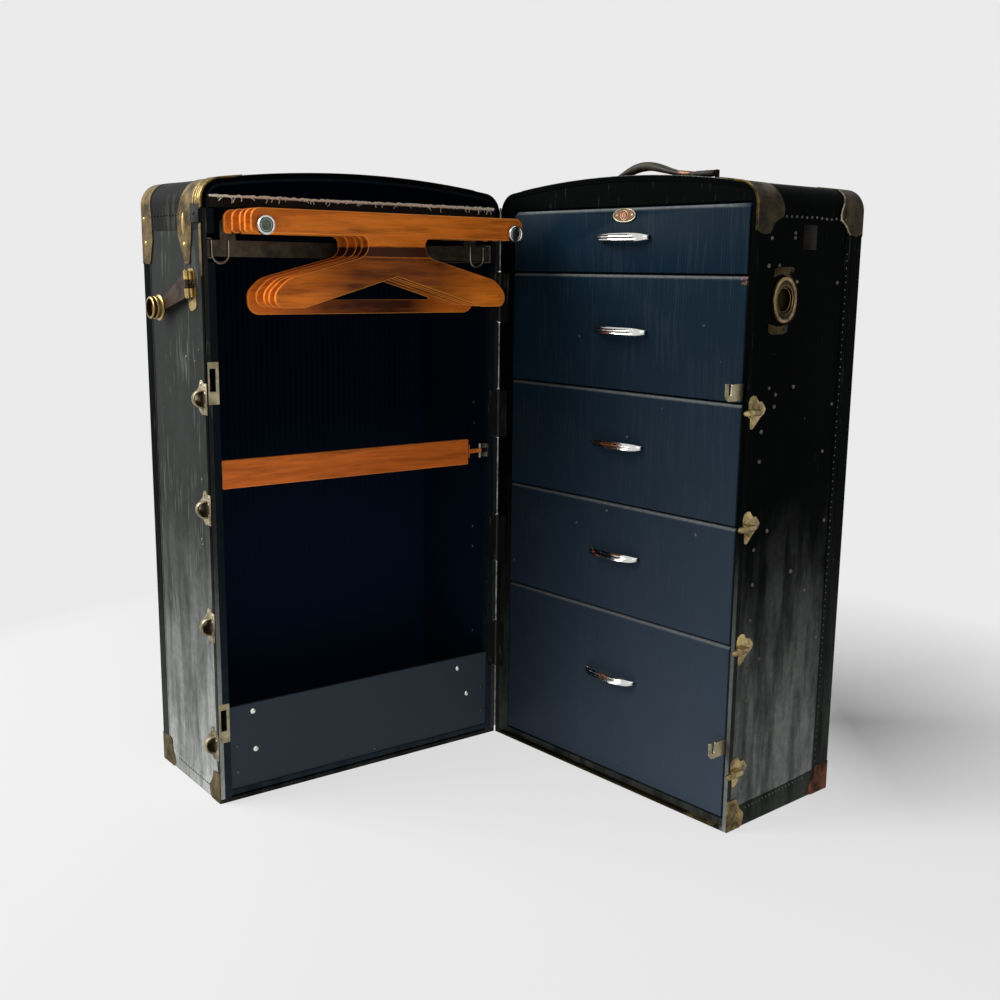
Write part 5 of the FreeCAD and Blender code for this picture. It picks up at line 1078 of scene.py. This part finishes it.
@piece("wardrobe_half", "aged_brass", brass_pale, ["dowel_sockets"])
def hooded_sockets(bm):
    """Front strips with a hooded mouth behind each, on a lobed plate."""
    for level in PEG_LEVELS:
        add_plate(bm, [(d, level + z) for d, z in SOCKET_PLATE], 1.0, 0.4)
        add_box(bm, CASE_WIDTH - 0.3, CASE_WIDTH + 1.7, 1.0, 13.5, level - 24.5, level + 24.5, 0.6)
        add_heads(bm, [(7.0, level + z) for z in (-20.0, -9.0, 9.0, 20.0)], 1.7, 2.3, 0.9, 10)
        add_heads(bm, [(22.5, level + 23.0)], 1.0, 2.8, 1.4, 10)
        rows = [add_line(bm, arch(level, *sizes))[1] for sizes in HOOD_ARCHES]
        for first, second in zip(rows, rows[1:]):
            bmesh.ops.bridge_loops(bm, edges=first + second)
        add_tube(bm, arch(level, 15.5, 13.5, 16.0), 1.5, BACK)


thicken(hooded_sockets, 0.0005)

# ---------------------------------------------------------------- the hasp and its cup
CUP = Vector((CASE_WIDTH, 77.0, 835.0))
plug_low, plug_high = half_box("hasp_key_plug", WARDROBE)
drum = (plug_low + plug_high) / 2
drum_face = half_box("hasp_arm", WARDROBE)[1].x
DRUM_PROFILE = ((14.6, 0.2), (16.6, 0.2), (17.8, -0.6), (17.9, -1.8), (17.0, -2.8), (16.8, -6.6),
                (18.2, -7.4), (18.4, -8.8), (17.6, -9.8), (17.6, -13.6), (19.4, -14.4), (20.8, -15.2),
                (21.0, -16.8), (19.8, -18.0), (17.2, -18.0))


@piece("drawer_half", "aged_brass", cup_brass)
def cup_rings(bm):
    add_ring(bm, CUP + Vector((1.6, 0, 0)), 25.6, 31.6, 3.1, around=12, flat=0.85)
    add_ring(bm, CUP + Vector((2.4, -1.0, 0)), 20.4, 22.5, 1.3, flat=0.5)
    add_ring(bm, CUP + Vector((-1.2, 0, 0)), 18.1, 18.1, 0.8)


@piece("drawer_half", "aged_brass", brass_dark)
def cup_ears(bm):
    """The ears of the cup's plate, each with its rivet."""
    add_plate(bm, [(48, 868), (50, 880), (57, 883), (66, 873), (84, 873), (92, 884), (100, 881), (99, 866)],
              1.2, 0.4)
    add_plate(bm, [(41, 800), (42, 787), (50, 784), (60, 796), (70, 796), (77, 784), (88, 787), (90, 800)],
              1.2, 0.4)
    add_heads(bm, [(56, 877), (93, 878), (48, 792), (80, 791)], 1.2, 3.0, 1.4, 12)


@piece("hasp", "aged_brass", brass_bright)
def drum_shell(bm):
    """The turned outside of the lock drum: a lip, two steps and a wide flange."""
    profile = [(drum_face + u, drum.y + radius, drum.z) for radius, u in DRUM_PROFILE]
    add_turned(bm, profile, (0, drum.y, drum.z), OUT, 40, True)


@piece("hasp", "copper_brass", brass_rusty)
def drum_floor(bm):
    add_disc(bm, (drum_face - 9.0, drum.y, drum.z), OUT, 14.2, 1.0, 0.3)
    add_ring(bm, (drum_face - 8.0, drum.y, drum.z), 9.5, 9.5, 0.9, steps=24, around=6)


# ---------------------------------------------------------------- rail ends, wire loops and inner rivets
RAILS = ((50.0, 934.0), (510.0, 934.0))
HINGE_SIDE_WALL = 8.0
rail_face = half_box("trolley_rails", WARDROBE)[0].y
shoe_face = half_box("shoe_panel", WARDROBE)[0].y


@piece("trolley", "chrome", chrome)
def rail_end_rims(bm):
    for u, z in RAILS:
        for radius, bar in ((12.0, 1.3), (8.6, 0.3)):
            add_ring(bm, (u, rail_face - 0.2, z), radius, radius, bar, steps=28, face=True)


@piece("trolley", "chrome", dish_dark)
def rail_end_dishes(bm):
    for u, z in RAILS:
        add_disc(bm, (u, rail_face + 0.2, z), FORWARD, 11.8, 0.6, 0.2)


@piece("trolley", "olive_paint", wire_metal)
def bail_wires(bm):
    """Wire loops that hang below the carriage."""
    d, top, low, half = 18.25, 913.0, 892.25, 14.0
    for middle in (36.0, 524.0):
        bend = [math.pi * (1 + step / 12) for step in range(13)]
        path = [(middle + half * math.cos(angle), d, low + half * math.sin(angle)) for angle in bend]
        add_tube(bm, [(middle - half, d, top)] + path + [(middle + half, d, top)], 1.95, BACK, 10)


@piece("wardrobe_half", "steel", nail_metal)
def inner_rivets(bm):
    """Rivets on the shoe panel and on the hinge-side wall."""
    for radius, places in ((2.6, ((312, 26), (265, 26))), (3.2, ((28, 95), (28, 48), (528, 93), (528, 47)))):
        for u, z in places:
            add_dome(bm, (u, shoe_face, z), FORWARD, radius, 1.6, 14)
    for d, z in ((64.5, 631), (61, 592), (64.6, 394), (64, 355), (62, 188)):
        add_dome(bm, (HINGE_SIDE_WALL, d, z), OUT, 3.4, 1.8, 12)


@piece("wardrobe_half", "steel", stud_metal)
def shoe_panel_studs(bm):
    """Bright washers with a rivet in the middle, on the shoe panel."""
    for u, z in ((498.0, 148.0), (494.5, 81.0), (83.0, 142.0), (62.0, 89.0)):
        add_dome(bm, (u, shoe_face, z), FORWARD, 4.8, 1.5, 16)
        add_dome(bm, (u, shoe_face - 1.2, z), FORWARD, 1.9, 1.2, 10)


@piece("wardrobe_half", "black_metal", black_metal)
def crown_knob(bm):
    add_lump(bm, (236.0, 100.0, CROWN + 1.0), (13.0, 7.0, 8.0))


HINGE_LEVELS = (178.0, 382.0, 616.0, 826.0)
HINGE_REACH = 46.0
SEAM_FOOT = 12.0
SEAM_TOP = 982.0
SEAM_ROD = 1.8


@piece("drawer_half", "steel", seam_metal)
def hinge_seam_rods(bm):
    """Thin rods on the hinges' axis, which close the seam between one hinge and the next."""
    beside = [level + side * HINGE_REACH for level in HINGE_LEVELS for side in (-1, 1)]
    ends = [SEAM_FOOT, *beside, SEAM_TOP]
    for low, high in zip(ends[::2], ends[1::2]):
        add_tube(bm, [(-2.5, -0.5, low), (-2.5, -0.5, high)], SEAM_ROD, OUT, 10)


# ---------------------------------------------------------------- the drawer lock's plate
@piece("drawer_1", "copper_brass", brass_pale)
def escutcheon_rim(bm):
    face = half_box("drawer_lock", DRAWER)[0].y
    level = 962.0
    add_ring(bm, (PULL_CENTRE, face - 0.1, level), 24.0, 10.2, 1.0, steps=40, face=True, flat=0.35)
    add_ring(bm, (PULL_CENTRE, face - 0.4, level), 7.6, 7.6, 1.1, steps=24, face=True, flat=0.35)
    for side in (-1, 1):
        add_dome(bm, (PULL_CENTRE + side * 16.5, face, level), FORWARD, 2.4, 0.5, 12)


# ---------------------------------------------------------------- the frayed cloth band
BAND_FROM, BAND_LENGTH, BAND_LOW, BAND_HEIGHT = 11.0, 538.0, 962.0, 18.0
BAND_TOP = BAND_LOW + BAND_HEIGHT
LOOSE_THREADS = 60


def cloth_band():
    """The band along the top of the wardrobe's mouth: a flat strip whose upper edge has frayed."""
    bm = bmesh.new()
    columns = 180
    made = bmesh.ops.create_grid(bm, x_segments=columns, y_segments=6, size=0.5)["verts"]
    frays = [random.uniform(-1.6, 1.4) for _ in range(columns + 1)]
    for vert in made:
        across, up = vert.co.x + 0.5, vert.co.y + 0.5
        u = BAND_FROM + across * BAND_LENGTH
        wave = 0.4 * math.sin(u * 0.06) + 0.25 * math.sin(u * 0.21)
        pull = 1.0 if up > 0.9 else 0.4 if up > 0.7 else 0.0
        z = BAND_LOW + up * BAND_HEIGHT + pull * frays[round(across * columns)]
        vert.co = Vector((u, 1.4 + wave * up, z))
    put(bm, WARDROBE)
    band = settle("frayed_cloth_band", bm, "wardrobe_half", frayed, ["curtain_band"])
    thicken(band, 0.0008)
    return band


random.seed(5)
band = cloth_band()


@piece("wardrobe_half", "frayed_cloth", thread_pale)
def frayed_threads(bm):
    """A fringe, and short threads that have come away from the band's upper edge and hang down over it."""
    for length, steps, d, stray, low, high, bar in ((1.0, 150, 1.2, 0.4, -1.4, 1.0, 1.6),
                                                    (0.34, 70, 1.3, 0.3, -2.6, 1.8, 1.7),
                                                    (0.62, 70, 1.3, 0.3, -2.6, 1.8, 1.2)):
        fringe = [(BAND_FROM + BAND_LENGTH * length * step / steps, d + random.uniform(-stray, stray),
                   BAND_TOP + random.uniform(low, high)) for step in range(steps + 1)]
        add_tube(bm, fringe, bar, BACK, 6)
    for _ in range(LOOSE_THREADS):
        u = BAND_FROM + BAND_LENGTH * random.uniform(0.01, 0.99) ** random.choice((1.0, 1.8, 0.4))
        z = BAND_TOP - random.uniform(0, 1.5)
        lean, drop = random.uniform(-9, 9), random.uniform(3, 13)
        path = [(u + lean * share + 1.5 * math.sin(7 * share + u), 0.6 - 0.7 * math.sin(math.pi * share),
                 z + 2.0 * share - drop * share ** 1.6) for share in (0, 0.2, 0.4, 0.6, 0.8, 1.0)]
        add_tube(bm, path, random.uniform(0.35, 0.65), BACK, 5)


# ---------------------------------------------------------------- the carrying handle
HANDLE_DEPTH = 118.0
STAPLE_REACH = 98.0
PIN_LEVEL = 1034.0
STRAP_LINE = ((176.0, 1031.5, 4.0), (186.0, 1036.0, 4.4), (200.0, 1041.5, 5.8), (215.0, 1046.2, 7.0),
              (232.0, 1048.6, 7.5), (250.0, 1048.0, 7.3), (268.0, 1044.0, 6.6), (288.0, 1038.6, 5.2),
              (308.0, 1034.0, 4.2), (330.0, 1031.6, 3.8), (348.0, 1030.4, 3.6), (384.0, 1030.0, 3.6))
COLLAR_LINE = ((309.0, 1034.2, 4.9), (326.0, 1032.2, 4.7), (343.0, 1031.0, 4.5))
TAB_LINE = ((344.0, 1030.8, 4.2), (364.0, 1030.4, 5.0), (385.0, 1030.2, 4.4))


def curve_points(line):
    """Points along a smooth curve near a line of (u, z, half thickness) points."""
    curve = bpy.data.curves.new("line", "CURVE")
    curve.dimensions = "3D"
    spline = curve.splines.new("NURBS")
    spline.points.add(len(line) - 1)
    for point, (u, z, _) in zip(spline.points, line):
        point.co = (u, HANDLE_DEPTH, z, 1.0)
    spline.use_endpoint_u = True
    spline.order_u = 3
    curve.resolution_u = 3
    holder = bpy.data.objects.new("line", curve)
    points = [v.co.copy() for v in bpy.data.meshes.new_from_object(holder).vertices]
    bpy.data.objects.remove(holder)
    return points


def fuller(share, power):
    """A share from -1 to 1 with its size raised to a power, which squares a circle's corners."""
    return math.copysign(abs(share) ** power, share)


def handle_part(bm, line, wide, fullness):
    """A length of the handle: a flattened bar along (u, z, half thickness) points."""
    points = curve_points(line)
    last = len(points) - 1
    sections = []
    for index, point in enumerate(points):
        ahead = points[min(index + 1, last)] - points[max(index - 1, 0)]
        after = next((i for i, entry in enumerate(line) if entry[0] >= point.x), len(line) - 1)
        before = max(0, after - 1)
        gap = max(0.001, line[after][0] - line[before][0])
        share = min(1.0, max(0.0, (point.x - line[before][0]) / gap))
        thick = line[before][2] + share * (line[after][2] - line[before][2])
        blunt = 0.72 if index in (0, last) else 1.0
        up = Vector((-ahead.z, 0, ahead.x)).normalized()
        sections.append((point, Vector((0, wide * blunt, 0)), up * thick * blunt))

    def shape(loop, x, y):
        point, side, up = sections[loop]
        return point + side * fuller(x, fullness) + up * fuller(y, fullness)

    add_bar(bm, len(points), 20, shape)


def staple(bm, side):
    """A low staple on its foot plate, which holds one of the handle's pins."""
    middle = MIDDLE + side * STAPLE_REACH
    foot = CROWN_CENTRE + math.sqrt(CROWN_RADIUS ** 2 - STAPLE_REACH ** 2)
    front, back = HANDLE_DEPTH - 17.0, HANDLE_DEPTH + 17.0
    add_box(bm, middle - 13.0, middle + 13.0, front, back, foot - 2.0, foot + 1.8, 0.8)
    for leg in (middle - 10.5, middle + 10.5):
        add_box(bm, leg - 1.6, leg + 1.6, HANDLE_DEPTH - 4.5, HANDLE_DEPTH + 4.5, foot, PIN_LEVEL + 2.0, 1.2)
    pin = [(middle + end, HANDLE_DEPTH, PIN_LEVEL) for end in (-12.0, 12.0)]
    add_tube(bm, pin, 1.9, UP, 10)


def crown_highlight_line(bm):
    """A thin pale metal tube along a crown's outer edge, which paints the highlight line there."""
    path = []
    steps = 24
    for step in range(steps + 1):
        u, z = on_crown((-1.0 + 2.0 * step / steps) * 0.9 * SHOULDER_LEAN, 1.2)
        path.append((u, 0.6, z))
    add_tube(bm, path, 0.8, BACK, 6)


make_piece("carry_handle_strap", "carry_handle", "leather", leather, handle_part,
           STRAP_LINE, 10.5, 0.7, stands_for=["handle_strap"], angle=60)
make_piece("carry_handle_collar", "carry_handle", "leather", bronze, handle_part,
           COLLAR_LINE, 11.4, 0.5, angle=40)
make_piece("carry_handle_tab", "carry_handle", "leather", leather_dark, handle_part,
           TAB_LINE, 11.6, 0.5, angle=40)
for end, side, finish in (("left", -1, brass_pale), ("right", 1, browned)):
    make_piece("handle_staple_" + end, "drawer_half", "aged_brass", finish, staple,
               side, stands_for=["handle_staples"])
for label in CASES:
    make_piece(label + "_crown_highlight_line", label + "_half", "edge_fibre", edge_highlight, crown_highlight_line)

# ---------------------------------------------------------------- floor, lights and camera
FLOOR_RADIUS = 40.0
FLOOR_RIGHT = (0.659, 0.752)
FLOOR_BACK = (-0.737, 0.65)
BACKGROUND = (0.83, 0.83, 0.83)
WORLD_LIGHT = 0.17
LENS = 43.588
SENSOR = 36.0
LENS_SHIFT = (-0.007875, 0.00229)
EYE = Vector((1.3914, -1.5845, 0.8729))
EYE_RIGHT = Vector((0.65932648, 0.75174328, 0.01306278))
EYE_UP = Vector((-0.14971918, 0.11424751, 0.98210573))
EYE_FORWARD = Vector((-0.736799, 0.64948406, -0.1878768))


def studio_floor():
    """A pale floor that keeps the shadow near the trunk and runs into the plain background further out.

    It keeps more of the shadow in a sector to the right of the trunk, where the shadow falls.
    """
    finish = bpy.data.materials.new("studio floor")
    tree = cleared(finish)
    place = out_of(tree, "ShaderNodeTexCoord", which="Object")
    centred = out_of(tree, "ShaderNodeMapping", {"Vector": place, "Location": (0.15, 0.15, 0.0)})
    distance = out_of(tree, "ShaderNodeVectorMath", {0: centred}, "Value", operation="LENGTH")
    x, y, _ = place.parts()
    right = x * FLOOR_RIGHT[0] + y * FLOOR_RIGHT[1]
    back = x * FLOOR_BACK[0] + y * FLOOR_BACK[1]
    shaded = right.spread(0.12, 0.42) * right.spread(0.95, 0.42) * back.spread(-0.3, 0.2)
    plainness = sums("MAXIMUM", shaded.spread(0.0, 1.0, 0.82, 0.13), distance.spread(0.62, 1.5))
    matt = out_of(tree, "ShaderNodeBsdfDiffuse", {"Color": (0.93, 0.93, 0.93)})
    plain = out_of(tree, "ShaderNodeEmission", {"Color": BACKGROUND, "Strength": 1.0})
    surface = out_of(tree, "ShaderNodeMixShader", {0: plainness, 1: matt, 2: plain})
    node(tree, "ShaderNodeOutputMaterial", {0: surface})
    bm = bmesh.new()
    bmesh.ops.create_circle(bm, cap_ends=True, segments=96, radius=FLOOR_RADIUS)
    return mesh_object("floor", bm, finish)


def studio_world():
    """A plain background for the camera and for reflections, and a weak white light for everything else."""
    world = bpy.data.worlds.new("studio")
    bpy.context.scene.world = world
    tree = cleared(world)
    rays = node(tree, "ShaderNodeLightPath").outputs
    seen = Output(tree, rays["Is Camera Ray"])
    for kind in ("Glossy", "Transmission"):
        seen = sums("MAXIMUM", seen, Output(tree, rays["Is %s Ray" % kind]))
    colour = mixed(seen, (1.0, 1.0, 1.0), BACKGROUND)
    strength = seen.spread(0.0, 1.0, WORLD_LIGHT, 1.0)
    node(tree, "ShaderNodeOutputWorld",
         {0: out_of(tree, "ShaderNodeBackground", {"Color": colour, "Strength": strength})})


def lamp(name, place, aim, size, power):
    light = bpy.data.lights.new(name, "AREA")
    light.shape = "SQUARE"
    light.size = size
    light.energy = power
    holder = add_object(name, light)
    holder.location = place
    holder.rotation_euler = (Vector(aim) - Vector(place)).to_track_quat("-Z", "Y").to_euler()


def camera():
    lens = bpy.data.cameras.new("camera")
    lens.lens = LENS
    lens.sensor_width = SENSOR
    lens.shift_x, lens.shift_y = LENS_SHIFT
    holder = add_object("camera", lens)
    turn = Matrix((EYE_RIGHT, EYE_UP, -EYE_FORWARD)).transposed().to_4x4()
    holder.matrix_world = Matrix.Translation(EYE) @ turn
    bpy.context.scene.camera = holder


studio_floor()
studio_world()
lamp("key light", (-1.9, -2.6, 2.5), (-0.1, -0.3, 0.45), 2.4, 172.0)
lamp("side light", (3.0, -1.4, 1.5), (0.1, -0.2, 0.4), 2.4, 10.0)
camera()
bpy.context.scene.view_settings.view_transform = "Standard"
